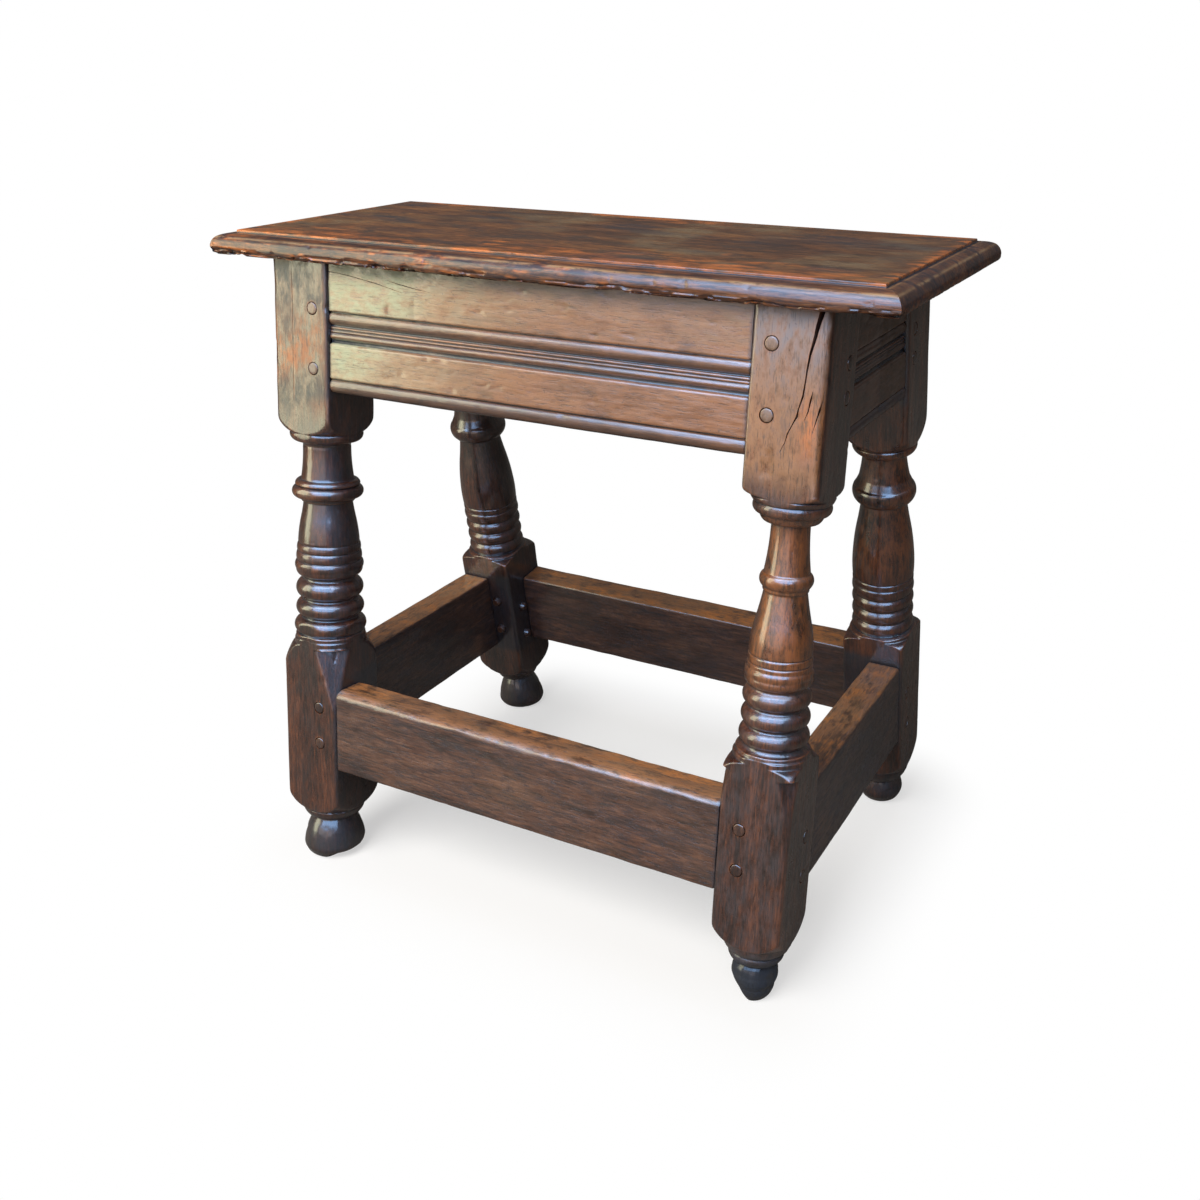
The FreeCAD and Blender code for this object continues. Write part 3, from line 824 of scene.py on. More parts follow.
def straight(start, end, step):
    """Points from a start up to but not including the end."""
    start, end = np.array(start, float), np.array(end, float)
    count = max(1, math.ceil(np.linalg.norm(end - start) / step))
    return start + (end - start) * np.arange(count)[:, None] / count


def apron_section(foot, head, head_at_back):
    """The apron's section as (out, up) points: its moulded face at 0 and its back inwards."""
    height = head - foot
    rows = [
        (foot + share * height, -depth * moulding_relief, bulge)
        for share, depth, bulge in apron_face_shares
    ]
    face = eased(outline_points(rows, 0.9))[:, ::-1]
    back = -apron_thickness
    return np.vstack([
        face[:-1],
        straight((0, head), (back, head_at_back), 3.0),
        straight((back, head_at_back), (back, foot), 5.0),
        straight((back, foot), (face[0][0], foot), 3.0),
    ])


def round_corner(corner, before, after, count=6):
    """Points of an elliptic corner that starts at an offset before it and ends at one after it."""
    corner, before, after = (np.array(v, float) for v in (corner, before, after))
    turn = np.linspace(0, math.pi / 2, count)[:, None]
    return corner + before * (1 - np.sin(turn)) + after * (1 - np.cos(turn))


def stretcher_section(foot, head, wear_down, wear_in):
    """The stretcher's section, with its upper outer arris worn down and in by two amounts."""
    back, arris = -stretcher_thickness, stretcher_arris
    outer_top = round_corner((0, head), (0, -wear_down), (-wear_in, 0), 12)
    inner_top = round_corner((back, head), (arris, 0), (0, -arris))
    inner_foot = round_corner((back, foot), (0, arris), (arris, 0))
    outer_foot = round_corner((0, foot), (-arris, 0), (0, arris))
    parts = []
    arcs = [outer_top, inner_top, inner_foot, outer_foot]
    for arc, following, count in zip(arcs, arcs[1:] + arcs[:1], (8, 24, 8, 32)):
        share = np.arange(1, count)[:, None] / count
        parts += [arc, arc[-1] + (following[0] - arc[-1]) * share]
    return np.vstack(parts)


def rail_grid(stations, section_at, seed, hand):
    """Rows of section points along a rail, with their hand-made unevenness, as (along, out, up)."""
    grid = []
    ends = stations[0], stations[-1]
    for along in stations:
        section = section_at(along)
        normal = normals_of(section)
        place = np.column_stack([np.full(len(section), along), section])
        bump = hand * fractal(place, (70, 26, 26), seed)
        bump += 0.45 * hand * fractal(place, (16, 7, 7), seed + 3)
        bump += 0.07 * fractal(place, (30, 2.0, 2.0), seed + 1, 3)
        bump -= 0.22 * above(fractal(place, (12, 7, 7), seed + 2), 0.40, 0.3)
        close = min(abs(along - ends[0]), abs(along - ends[1]))
        bump -= 0.5 * max(0, 1 - close / rail_end)
        grid.append(np.column_stack([np.full(len(section), along), section + normal * bump[:, None]]))
    return np.array(grid)


def stations_between(start, end):
    """Places along a rail, with two close to each end to round it."""
    count = math.ceil((end - start) / rail_step)
    inner = np.linspace(start + rail_end, end - rail_end, count)
    return np.concatenate([[start, start + 0.5], inner, [end - 0.5, end]])


def long_rail(name, section_at, setback, half_turns, tenons, seed, hand, cuts=()):
    """A front or back rail with its tenons."""
    reach = shoulder - shoulder_gap
    along_out_up = rail_grid(stations_between(-reach, reach), section_at, seed, hand)
    x, out, up = (along_out_up[..., i] for i in range(3))
    grid = leaned(np.stack([x, setback - half_leg - out, up], axis=-1), half_turns)
    piece = outward(capped_tube(name, grid))
    combine(piece, tenons, "UNION")
    for cutter in cuts:
        combine(piece, cutter, "DIFFERENCE")
    return piece


def side_rail(name, section_at, setback, sign, tenons, seed, hand):
    """A left or right rail between the shoulders of the raked legs, with its tenons."""
    middle = half_gap(frame_height / 2)
    along_out_up = rail_grid(stations_between(-middle, middle), section_at, seed, hand)
    share, out, up = (along_out_up[..., i] for i in range(3))
    y = share / middle * (half_gap(up) - shoulder_gap)
    grid = np.stack([sign * (leg_reach - setback + out), sign * y, up], axis=-1)
    piece = outward(capped_tube(name, grid))
    combine(piece, tenons, "UNION")
    return piece


def worn_section(foot, head, wear_down, wear_in, seed):
    """Gives a stretcher's section at any place along it. Each wear is a depth in millimetres and the
    noises that vary it, as (strength, size, seed)."""
    def section_at(along):
        place = np.array([[along, 0.0, 0.0]])
        depths = []
        for depth, *noises in (wear_down, wear_in):
            for strength, size, own_seed in noises:
                depth = depth + strength * fractal(place, size, seed + own_seed)[0]
            depths.append(depth)
        return stretcher_section(foot, head, *depths)
    return section_at


# Feet have worn the front stretcher's upper arris away
long_stretcher_wear = {
    "front": ((6.0, (2.5, 60, 5), (1.2, 13, 7)), (11.0, (4.5, 75, 6), (2.0, 17, 8))),
    "back": ((3.5, (1.2, 60, 5)), (4.0, (1.5, 60, 6))),
}
side_stretcher_wear = ((3.0, (1.2, 55, 5)), (3.5, (1.5, 55, 6)))


def long_apron(side, half_turns, seed):
    """The front or back apron."""
    section = apron_section(apron_low, apron_high, apron_high_at_back)
    tenons = long_tenons("tenons", apron_low, apron_high, 0, 0, half_turns)
    cuts = [
        trench("cut", path, widths, depths, front_face_point(half_turns, apron_setback))
        for path, widths, depths in splits.get(side + "_apron", ())
    ]
    return long_rail(
        side + "_apron_oak", lambda along: section, apron_setback, half_turns, tenons, seed, apron_hand,
        cuts,
    )


def long_stretcher(side, half_turns, seed):
    """The front or back stretcher."""
    section_at = worn_section(stretcher_low, stretcher_high, *long_stretcher_wear[side], seed)
    tenons = long_tenons("tenons", stretcher_low, stretcher_high, 0, 0, half_turns)
    return long_rail(
        side + "_stretcher_oak", section_at, stretcher_setback, half_turns, tenons, seed, stretcher_hand
    )


def side_apron(side, sign, seed):
    """The right or left apron."""
    section = apron_section(apron_foot, frame_height, frame_height)
    tenons = side_tenons("tenons", apron_foot, frame_height, 0, 0, sign)
    return side_rail(
        side + "_apron_oak", lambda along: section, apron_setback, sign, tenons, seed, apron_hand
    )


def side_stretcher(side, sign, seed):
    """The right or left stretcher."""
    section_at = worn_section(side_stretcher_foot, side_stretcher_head, *side_stretcher_wear, seed)
    tenons = side_tenons("tenons", side_stretcher_foot, side_stretcher_head, 0, 0, sign)
    return side_rail(
        side + "_stretcher_oak", section_at, stretcher_setback, sign, tenons, seed, stretcher_hand
    )


# The board

board_along = 620
board_across = 200
field_cell = 4.0
board_seed = 900
under_rim = 9.0
field_rim = 4.0
top_peg_inset = 8.0
top_peg_in_board = 12.0
top_peg_overrun = 6.0
quarter_share = 0.207


def edge_rows():
    """The board's moulded edge from its underside round to its field, as (height, inset) rows."""
    step = seat_height - field_step
    rows = [
        (frame_height, -underside_round, quarter_share),
        (frame_height + underside_round, 0, 0.12),
        (step - nose_drop, -nose_reach, 0.06),
        (step, -field_inset + fillet_width, 0),
        (step, -field_inset, 0),
        (seat_height - field_round, -field_inset, quarter_share),
        (seat_height, -field_inset - field_round, 0),
        (seat_height, -field_inset - field_round - field_rim, 0),
    ]
    under = outline_points([(frame_height, -underside_round - under_rim, 0), rows[0]], 2.5)[:-1]
    return np.vstack([under, eased(outline_points(rows, 0.85))])


def board_ring(inset, height):
    """The points of one ring round the board, as (x, y, height)."""
    half_x, half_y = board_length / 2 + inset, board_depth / 2 + inset
    corners_of_ring = [(-half_x, -half_y), (half_x, -half_y), (half_x, half_y), (-half_x, half_y)]
    counts = (board_along, board_across, board_along, board_across)
    points = []
    for index, count in enumerate(counts):
        start = np.array(corners_of_ring[index])
        end = np.array(corners_of_ring[(index + 1) % 4])
        share = np.arange(count)[:, None] / count
        points.append(start + (end - start) * share)
    ring = np.vstack(points)
    return np.column_stack([ring, np.full(len(ring), height)])


def splinters(points):
    """Where flakes have lifted off the board's long edges, along the grain."""
    return fractal(points, (34, 3.2, 2.4), board_seed + 1, 3)


def board_wear(grid):
    """Works the wear of the board's edge into its rings: chips, splinters, dents and a soft wave."""
    x, y, z = grid[..., 0], grid[..., 1], grid[..., 2]
    seed = board_seed
    from_middle_x = np.abs(x) - (board_length / 2 - field_inset)
    from_middle_y = np.abs(y) - (board_depth / 2 - field_inset)
    long_side = from_middle_y > from_middle_x
    out_x = np.where(long_side, 0, np.sign(x))
    out_y = np.where(long_side, np.sign(y), 0)
    low = near(z - frame_height, 8.0)
    front = above(-y, board_depth / 2 - field_inset, 4)
    change = 0.35 * fractal(grid, (34, 34, 30), seed)
    # The grain runs along X, so the long edges splinter and the ends are only knocked
    splinter = splinters(grid)
    change -= low * (0.3 + 1.2 * front) * above(splinter, 0.02, 0.07)
    change -= low * (0.3 + 1.0 * front) * above(splinter, 0.24, 0.07)
    chips = fractal(grid, (13, 9, 9), seed + 2, 3)
    change -= low * (0.4 + 1.7 * front) * above(chips, 0.34, 0.12)
    change -= 0.35 * above(fractal(grid, (9, 8, 8), seed + 3), 0.42, 0.25)
    change += 0.10 * fractal(grid, (30, 1.6, 1.6), seed + 4, 2)
    outer = np.clip(above(from_middle_x, 0, 3) + above(from_middle_y, 0, 3), 0, 1)
    worn = grid.copy()
    worn[..., 0] += out_x * change * outer
    worn[..., 1] += out_y * change * outer
    worn[..., 2] += low * front * 1.5 * above(fractal(grid, (17, 8, 60), seed + 5), 0.08, 0.22)
    return worn


def flat_fill(ring, depth_function, cell, seed):
    """A triangulated sheet inside a ring, with a scatter of points about a cell apart."""
    low, high = ring[:, :2].min(axis=0), ring[:, :2].max(axis=0)
    xs = np.arange(low[0] + cell, high[0] - cell * 0.6, cell)
    ys = np.arange(low[1] + cell, high[1] - cell * 0.6, cell)
    grid = np.stack(np.meshgrid(xs, ys), axis=-1).reshape(-1, 2)
    cells = np.column_stack([np.round(grid).astype(np.int64), np.zeros(len(grid), np.int64)])
    shake = np.column_stack([lattice_value(cells, seed), lattice_value(cells, seed + 1)])
    grid = grid + 0.3 * cell * shake
    flat = np.vstack([ring[:, :2], grid])
    count = len(ring)
    edges = [(i, (i + 1) % count) for i in range(count)]
    result = delaunay_2d_cdt([Vector(p) for p in flat], edges, [], 1, 1e-7)
    points = np.array([tuple(p) for p in result[0]])
    points = np.column_stack([points, np.zeros(len(points))])
    points[:, 2] = depth_function(points)
    return points, [tuple(f) for f in result[2]], result[3]


def top_board():
    """The seat board: a moulded edge all round, a worn field and a rough underside."""
    rows = edge_rows()
    grid = board_wear(np.array([board_ring(inset, height) for height, inset in rows]))
    count = grid.shape[1]
    points = list(grid.reshape(-1, 3))
    faces = tube_faces(len(rows), count)

    def field_height(flat):
        dip = fractal(flat, (120, 70, 50), 950)
        knock = above(noise(flat, (9, 6, 6), 951), 0.66, 0.25)
        inside = above(board_length / 2 - field_inset - 5 - np.abs(flat[:, 0]), 0, 18)
        inside = inside * above(board_depth / 2 - field_inset - 5 - np.abs(flat[:, 1]), 0, 18)
        return seat_height - inside * (0.35 + 0.35 * dip + 0.35 * knock)

    def underside_height(flat):
        inside = above(board_length / 2 - 14 - np.abs(flat[:, 0]), 0, 10)
        inside = inside * above(board_depth / 2 - 14 - np.abs(flat[:, 1]), 0, 10)
        return frame_height + inside * 0.25 * (1 + fractal(flat, (60, 16, 20), 960))

    for ring_index, height_of, flip, cell in (
        (len(rows) - 1, field_height, False, field_cell),
        (0, underside_height, True, field_cell * 2),
    ):
        ring = grid[ring_index]
        inner, inner_faces, originals = flat_fill(ring, height_of, cell, 970 + ring_index)
        known = {}
        for index, sources in enumerate(originals):
            for source in sources:
                if source < count:
                    known[index] = ring_index * count + source
        for index, point in enumerate(inner):
            if index not in known:
                known[index] = len(points)
                points.append(point)
        for face in inner_faces:
            ids = [known[i] for i in face]
            faces.append(tuple(reversed(ids)) if flip else tuple(ids))
    piece = outward(mesh_object("top_board_oak", np.array(points), faces))
    for end, half_turns in corners.values():
        combine(piece, top_peg_socket(end, half_turns), "DIFFERENCE")
    return piece


def top_peg_socket(end, half_turns):
    """The blind hole under the board for a leg's hidden peg."""
    top = rise(frame_height)
    rows = np.array([
        (top - top_peg_overrun, peg_hole_radius), (top + top_peg_in_board, peg_hole_radius),
    ])
    x, y = end * (leg_spacing / 2 - top_peg_inset), top_peg_inset

    def place(grid):
        return leaned(grid + np.array((x, y, 0.0)), half_turns)

    return lathe("cut", rows, peg_hole_sides, place)


# Wear, dirt, and painted shade and light, painted on the points of a mesh

sharp_angle = math.radians(48)


def mesh_arrays(mesh):
    """The points, normals and edges of a mesh, in millimetres."""
    points = np.zeros(len(mesh.vertices) * 3)
    mesh.vertices.foreach_get("co", points)
    normals = np.zeros(len(mesh.vertices) * 3)
    mesh.vertices.foreach_get("normal", normals)
    edges = np.zeros(len(mesh.edges) * 2, np.int64)
    mesh.edges.foreach_get("vertices", edges)
    return points.reshape(-1, 3) / MM, normals.reshape(-1, 3), edges.reshape(-1, 2)


def spread_out(values, edges, rounds):
    """Values on points, averaged with their neighbours' a few times."""
    ends = np.concatenate([edges[:, 0], edges[:, 1]])
    others = np.concatenate([edges[:, 1], edges[:, 0]])
    count = np.maximum(np.bincount(ends, minlength=len(values)), 1)
    for _ in range(rounds):
        around = np.bincount(ends, values[others], len(values)) / count
        values = (values + around) / 2
    return values


def bend_of(points, normals, edges):
    """How sharply the surface bends at each point: positive on an arris, negative in a groove."""
    run = points[edges[:, 1]] - points[edges[:, 0]]
    run /= np.maximum(np.linalg.norm(run, axis=1), 1e-6)[:, None]
    first = -np.einsum("ij,ij->i", normals[edges[:, 0]], run)
    second = np.einsum("ij,ij->i", normals[edges[:, 1]], run)
    total = np.bincount(edges[:, 0], first, len(points)) + np.bincount(edges[:, 1], second, len(points))
    count = np.bincount(edges.ravel(), minlength=len(points))
    return total / np.maximum(count, 1)


def paint(piece, **layers):
    """Stores values between 0 and 1 on a piece's points, for its material to read."""
    for name, values in layers.items():
        attribute = piece.data.attributes.new(name, "FLOAT", "POINT")
        attribute.data.foreach_set("value", np.clip(values, 0, 1).astype(np.float32))


def finish_surface(piece, seed, zone):
    """Shades a piece and paints its rubbed arrises, its hollows darkened with dirt and painted shade, and
    its zones of finish.
    """
    mesh = piece.data
    mesh.shade_smooth()
    mesh.set_sharp_from_angle(angle=sharp_angle)
    points, normals, edges = mesh_arrays(mesh)
    bend = bend_of(points, normals, edges)
    fine = spread_out(bend, edges, 2)
    broad = spread_out(bend, edges, 10)
    patchy = 0.5 + 0.5 * fractal(points, (13, 13, 13), seed + 51)
    rubbed = above(fine, 0.05, 0.22) * 0.65 + above(broad, 0.02, 0.10) * 0.6
    rubbed = rubbed * (0.35 + 0.9 * patchy)
    # Hollows and grooves are darkened, partly as dirt and partly as painted shade
    dirt = above(-fine, 0.03, 0.16) * 0.9 + above(-broad, 0.015, 0.07) * 0.55
    tone = 0.5 + 0.5 * fractal(points, (55, 55, 40), seed + 52)
    rubbed, dirt, tone, film = zone(points, normals, rubbed, dirt, tone)
    paint(piece, rubbed=rubbed, dirt=np.maximum(dirt, joint_shade(points)), tone=tone, film=film)


def joint_shade(points):
    """Painted shade: darkens the wood along the joints of the legs with the rails, on their inner sides, and
    under the board.
    """
    shade = np.zeros(len(points))
    for end, half_turns in corners.values():
        local = upright(points, half_turns)
        along_x = np.abs(local[:, 0] - end * leg_spacing / 2) - half_leg
        along_y = np.abs(local[:, 1]) - half_leg
        for foot, head in (apron_foot, frame_height), (side_stretcher_foot, side_stretcher_head):
            level = above(points[:, 2], foot - 8, 6) * (1 - above(points[:, 2], head + 2, 8))
            beside_x = near(along_x, 3.0) * (along_y < 0)
            beside_y = near(along_y, 3.0) * (along_x < 0)
            inner = (beside_x * (np.sign(local[:, 0] - end * leg_spacing / 2) != end)
                     + beside_y * (local[:, 1] > 0))
            shade = np.maximum(shade, 0.8 * level * np.clip(inner, 0, 1))
    under = near(points[:, 2] - frame_height, 5.0) * (np.abs(points[:, 1]) < board_depth / 2 - 12)
    return np.maximum(shade, 0.75 * under * (np.abs(points[:, 0]) < board_length / 2 - 20))


# Materials

def srgb(red, green, blue):
    """A colour as it looks on a screen, from 0 to 255, in the form that the shaders take."""
    shares = [value / 255 for value in (red, green, blue)]
    return tuple(s / 12.92 if s <= 0.04045 else ((s + 0.055) / 1.055) ** 2.4 for s in shares) + (1.0,)


class Shading:
    """The nodes of a material or of the world."""

    def __init__(self, owner):
        owner.use_nodes = True
        self.tree = owner.node_tree
        self.tree.nodes.clear()

    def node(self, kind, inputs=None, **settings):
        """Adds a node. An input is a number, a colour or another node's output."""
        made = self.tree.nodes.new("ShaderNode" + kind)
        for key, value in settings.items():
            setattr(made, key, value)
        for key, value in (inputs or {}).items():
            if isinstance(value, bpy.types.NodeSocket):
                self.tree.links.new(value, made.inputs[key])
            else:
                made.inputs[key].default_value = value
        return made

    def math(self, operation, first, second):
        """A sum of two numbers."""
        return self.node("Math", {0: first, 1: second}, operation=operation).outputs[0]

    def mix(self, share, first, second):
        """The second colour laid over the first by a share."""
        return self.node("Mix", {0: share, 6: first, 7: second}, data_type="RGBA").outputs[2]

    def between(self, share, first, second):
        """A number between two others by a share."""
        return self.node("Mix", {0: share, 2: first, 3: second}, data_type="FLOAT").outputs[0]

    def step(self, value, low, high):
        """0 at the low value, rising smoothly to 1 at the high one."""
        inputs = {0: value, 1: low, 2: high}
        return self.node("MapRange", inputs, interpolation_type="SMOOTHSTEP").outputs[0]

    def scaled(self, place, per_metre):
        """A place stretched by so many repeats to the metre on each axis."""
        return self.node("VectorMath", {0: place, 1: per_metre}, operation="MULTIPLY").outputs[0]

    def noise(self, place, detail, roughness, distortion=0.0):
        """Noise between 0 and 1, one cell to each unit of the place."""
        inputs = {
            "Vector": place, "Scale": 1.0, "Detail": detail, "Roughness": roughness,
            "Distortion": distortion,
        }
        return self.node("TexNoise", inputs).outputs[0]

    def painted(self, name):
        """Values that are painted on the points of a piece."""
        return self.node("Attribute", attribute_name=name).outputs["Fac"]


# Which way the grain runs, as the order in which a stretch along it and across it goes to X, Y and Z
along_x, along_y, along_z = (0, 1, 1), (1, 0, 1), (1, 1, 0)


wax_ior = 1.7
grain_relief = 0.7 * MM


def grain_scale(run, along, across):
    """Repeats to the metre on each axis for a pattern that is stretched along the grain."""
    return tuple((along, across)[index] for index in run)


def oak(name, colours, run, turn=0.0, shift=0.0, gloss=0.30, coat=0.8, wax=0.2, shine=0.6, grain=1.0,
        blotch=0.35, size=1.0):
    """Old waxed oak: streaks, open pores, clouds of darker finish, rubbed edges, and hollows darkened with
    dirt and painted shade.

    The run is the way of the grain, turned about X and shifted. Gloss, coat, wax and shine are the
    wood's roughness, the weight and roughness of the wax, and how much the wood reflects. Grain and
    blotch are the strength of the pores and of the dark patches, and size stretches the figure."""
    dark, body, light, pale, worn, film, grime_and_shade = (srgb(*colour) for colour in colours)
    material = bpy.data.materials.new(name)
    s = Shading(material)
    place = s.node("TexCoord").outputs["Object"]
    place = s.node("VectorRotate", {"Vector": place, "Angle": turn}, rotation_type="X_AXIS").outputs[0]
    place = s.node("VectorMath", {0: place, 1: (shift, shift / 2, shift / 3)}).outputs[0]

    figure = s.noise(s.scaled(place, grain_scale(run, 9.0 / size, 60.0 / size)), 6.0, 0.70, 0.8)
    streaks = s.noise(s.scaled(place, grain_scale(run, 55.0, 560.0)), 5.0, 0.68, 0.6)
    pores = s.noise(s.scaled(place, grain_scale(run, 90.0, 1100.0)), 2.0, 0.6)
    clouds = s.noise(s.scaled(place, (17.0, 17.0, 17.0)), 6.0, 0.62)
    mottle = s.noise(s.scaled(place, grain_scale(run, 55.0 / size, 110.0 / size)), 6.0, 0.72)
    specks = s.noise(s.scaled(place, (420.0, 420.0, 420.0)), 2.0, 0.6)

    pattern = s.math("ADD", s.math("MULTIPLY", figure, 0.5), s.math("MULTIPLY", streaks, 0.5))
    colour = s.mix(s.step(pattern, 0.42, 0.52), dark, body)
    colour = s.mix(s.step(pattern, 0.51, 0.60), colour, light)
    # The painted tone also carries painted light on the legs' upper outer faces and a painted highlight on
    # the board's nose
    toned = s.math("MULTIPLY", s.painted("tone"), s.step(mottle, 0.22, 0.55))
    colour = s.mix(toned, colour, pale)
    cloudy = s.math("MULTIPLY", s.step(clouds, 0.50, 0.68), 0.5)
    blotchy = s.math("MULTIPLY", s.step(mottle, 0.50, 0.62), blotch)
    colour = s.mix(s.math("MAXIMUM", cloudy, blotchy), colour, dark)
    # The film of old wax also carries a painted sheen on the aprons' left ends and the legs' upper blocks
    filmy = s.math("MULTIPLY", s.painted("film"), s.step(mottle, 0.30, 0.62))
    colour = s.mix(filmy, colour, film)

    broken = s.step(s.math("ADD", mottle, s.math("MULTIPLY", streaks, 0.6)), 0.66, 0.92)
    rub = s.math("MULTIPLY", s.painted("rubbed"), broken)
    colour = s.mix(rub, colour, worn)
    open_pores = s.math("MULTIPLY", s.step(pores, 0.56, 0.68), 0.55 * grain)
    colour = s.mix(open_pores, colour, grime_and_shade)
    speckled = s.math("MULTIPLY", s.step(specks, 0.64, 0.74), 0.45)
    colour = s.mix(speckled, colour, grime_and_shade)
    # Dirt and painted shade darken the wood towards the grime colour
    dirty = s.math("MULTIPLY", s.painted("dirt"), s.step(clouds, 0.10, 0.50))
    colour = s.mix(dirty, colour, grime_and_shade)

    dull = s.math("MULTIPLY", s.step(mottle, 0.35, 0.70), 0.20)
    dull = s.math("ADD", dull, s.math("MULTIPLY", dirty, 0.35))
    dull = s.math("ADD", dull, s.math("MULTIPLY", filmy, 0.2))
    roughness = s.math("ADD", dull, gloss)
    height = s.math("ADD", s.math("MULTIPLY", figure, 0.25), s.math("MULTIPLY", streaks, 0.30))
    height = s.math("ADD", height, s.math("MULTIPLY", mottle, 0.5))
    height = s.math("SUBTRACT", height, s.math("MULTIPLY", open_pores, 0.35))
    height = s.math("SUBTRACT", height, s.math("MULTIPLY", speckled, 0.25))
    bump = s.node("Bump", {"Strength": 0.75, "Distance": grain_relief, "Height": height}).outputs[0]
    shader = s.node("BsdfPrincipled", {
        "Base Color": colour,
        "Roughness": roughness,
        "Normal": bump,
        "Specular IOR Level": shine,
        "Coat Weight": s.between(filmy, coat, coat / 4),
        "Coat Roughness": wax,
        "Coat IOR": wax_ior,
    })
    s.node("OutputMaterial", {0: shader.outputs[0]})
    return material


# Colours: the dark, the body and the light of the grain, the pale of bleached wood, which also serves as
# painted light, worn arrises, the film of old wax, which also serves as painted sheen, and grime, which
# also serves as painted shade
board_colours = (
    (60, 30, 12), (124, 72, 30), (166, 110, 56), (186, 152, 112), (206, 116, 42), (124, 98, 62), (12, 8, 6),
)
leg_colours = (
    (36, 18, 12), (74, 40, 26), (108, 62, 38), (166, 118, 74), (184, 108, 44), (128, 122, 126), (9, 6, 5),
)
front_left_leg_colours = (
    (36, 18, 12), (74, 40, 26), (108, 62, 38), (166, 118, 74), (184, 108, 44), (64, 62, 52), (9, 6, 5),
)
# Lighter than the side aprons' colours, partly as painted light; the cream film is partly wax, partly a
# painted sheen
apron_colours = (
    (84, 51, 31), (122, 79, 48), (144, 96, 60), (158, 106, 66), (178, 114, 62), (172, 173, 136), (12, 8, 7),
)
# Painted shade: a darker copy of the aprons' colours, for the side aprons
shaded_side_apron_colours = (
    (40, 20, 15), (74, 40, 28), (98, 56, 38), (120, 78, 52), (140, 80, 44), (88, 70, 52), (9, 6, 5),
)
stretcher_colours = (
    (48, 28, 21), (92, 58, 44), (126, 86, 64), (180, 140, 102), (190, 122, 62), (128, 106, 86), (10, 7, 6),
)
peg_colours = (
    (34, 20, 16), (60, 37, 28), (84, 56, 40), (146, 108, 76), (120, 74, 46), (122, 116, 112), (10, 7, 6),
)

board_wood = oak(
    "oak_board", board_colours, along_x, gloss=0.36, coat=0.55, wax=0.2, shine=0.4, blotch=1.0,
    size=2.4
)
leg_wood = {
    corner: oak(
        "oak_" + corner + "_leg", front_left_leg_colours if corner == "front_left" else leg_colours,
        along_z, turn=-rake if half_turns else rake, shift=1.3 + 0.7 * index,
        gloss=0.27, coat=1.0, wax=0.17, shine=0.6,
    )
    for index, (corner, (_, half_turns)) in enumerate(corners.items())
}
apron_wood_long = oak(
    "oak_long_aprons", apron_colours, along_x, shift=4.1, coat=1.0, wax=0.2, shine=0.6, grain=0.8,
    blotch=0.25
)
shaded_side_apron_wood = oak("oak_side_aprons_shaded", shaded_side_apron_colours, along_y, shift=5.2)
stretcher_wood_long = oak("oak_long_stretchers", stretcher_colours, along_x, shift=6.3, blotch=0.5)
stretcher_wood_side = oak("oak_side_stretchers", stretcher_colours, along_y, shift=7.4, blotch=0.5)
peg_wood = oak("oak_pegs", peg_colours, along_z, shift=8.5, grain=0.6)


# Zones of finish. The upper parts are paler, partly bleached and worn by hands and partly painted light, and
# the lower and inner parts are darker, partly as painted shade.

vase_foot, vase_head = 232, 360
wedge_x, wedge_z = 223, 436
reeds_foot, reeds_head = 452, 471
foot_bead_height = 9
# Where the painted sheen on the aprons' left ends begins
sheen_edge = 84


def facing(normals, half_turns):
    """How squarely a point faces the outside of the front, or of the back after a half turn."""
    return above(normals[:, 1] if half_turns else -normals[:, 1], 0.35, 0.5)


def leg_zone(corner):
    """How one leg's finish varies with height and side."""
    half_turns = corners[corner][1]

    def zone(points, normals, rubbed, dirt, tone):
        outer = facing(normals, half_turns)
        upper = above(points[:, 2], upper_block_foot - 12, 30)
        high = above(points[:, 2], 440, 70)
        # The upper blocks' outer faces are paler and filmed grey: partly bleached, waxed wood, partly
        # painted light and sheen
        film = upper * outer * (0.06 + 0.84 * high)
        light = upper * outer * (0.50 + 0.5 * tone)
        foot = 1 - above(points[:, 2], 30, 30)
        vase = above(points[:, 2], vase_foot, 40) * (1 - above(points[:, 2], vase_head, 25))
        dirt = np.maximum(dirt, (0.95 if corner == "front_right" else 0.7) * foot)
        # Painted shade on the sides of the leg that face in
        inner = above(-normals[:, 0] * np.sign(points[:, 0].mean()), 0.5, 0.3)
        dirt = np.maximum(dirt, 0.45 * inner)
        if corner == "front_left":
            low = above(frame_height - points[:, 2], 20, 50)
            light *= 0.3
            film = np.maximum(film, 0.95 * upper * outer)
            rubbed = np.maximum(rubbed, 0.8 * outer * low * upper * above(tone, 0.35, 0.3))
        if corner == "front_right":
            rubbed = np.maximum(rubbed, vase * (0.25 + 0.35 * tone))
            light = np.maximum(light, 0.25 * vase)
            film = np.maximum(film, 0.12 * outer * (1 - upper) * (1 - vase))
            wedge = outer * near(points[:, 0] - wedge_x, 13) * near(points[:, 2] - wedge_z, 36)
            rubbed = np.maximum(rubbed, wedge)
            film = np.maximum(film, foot)
        if corner == "back_right":
            rubbed = np.maximum(rubbed, 0.4 * vase)
        return rubbed, dirt, light, film

    return zone


def recess_of(points):
    """How far a point of an apron lies behind its plain upper band."""
    if np.ptp(points[:, 0]) > np.ptp(points[:, 1]):
        return upright(points, points[:, 1].mean() > 0)[:, 1] + half_leg - apron_setback
    return leg_reach - apron_setback - np.abs(points[:, 0])


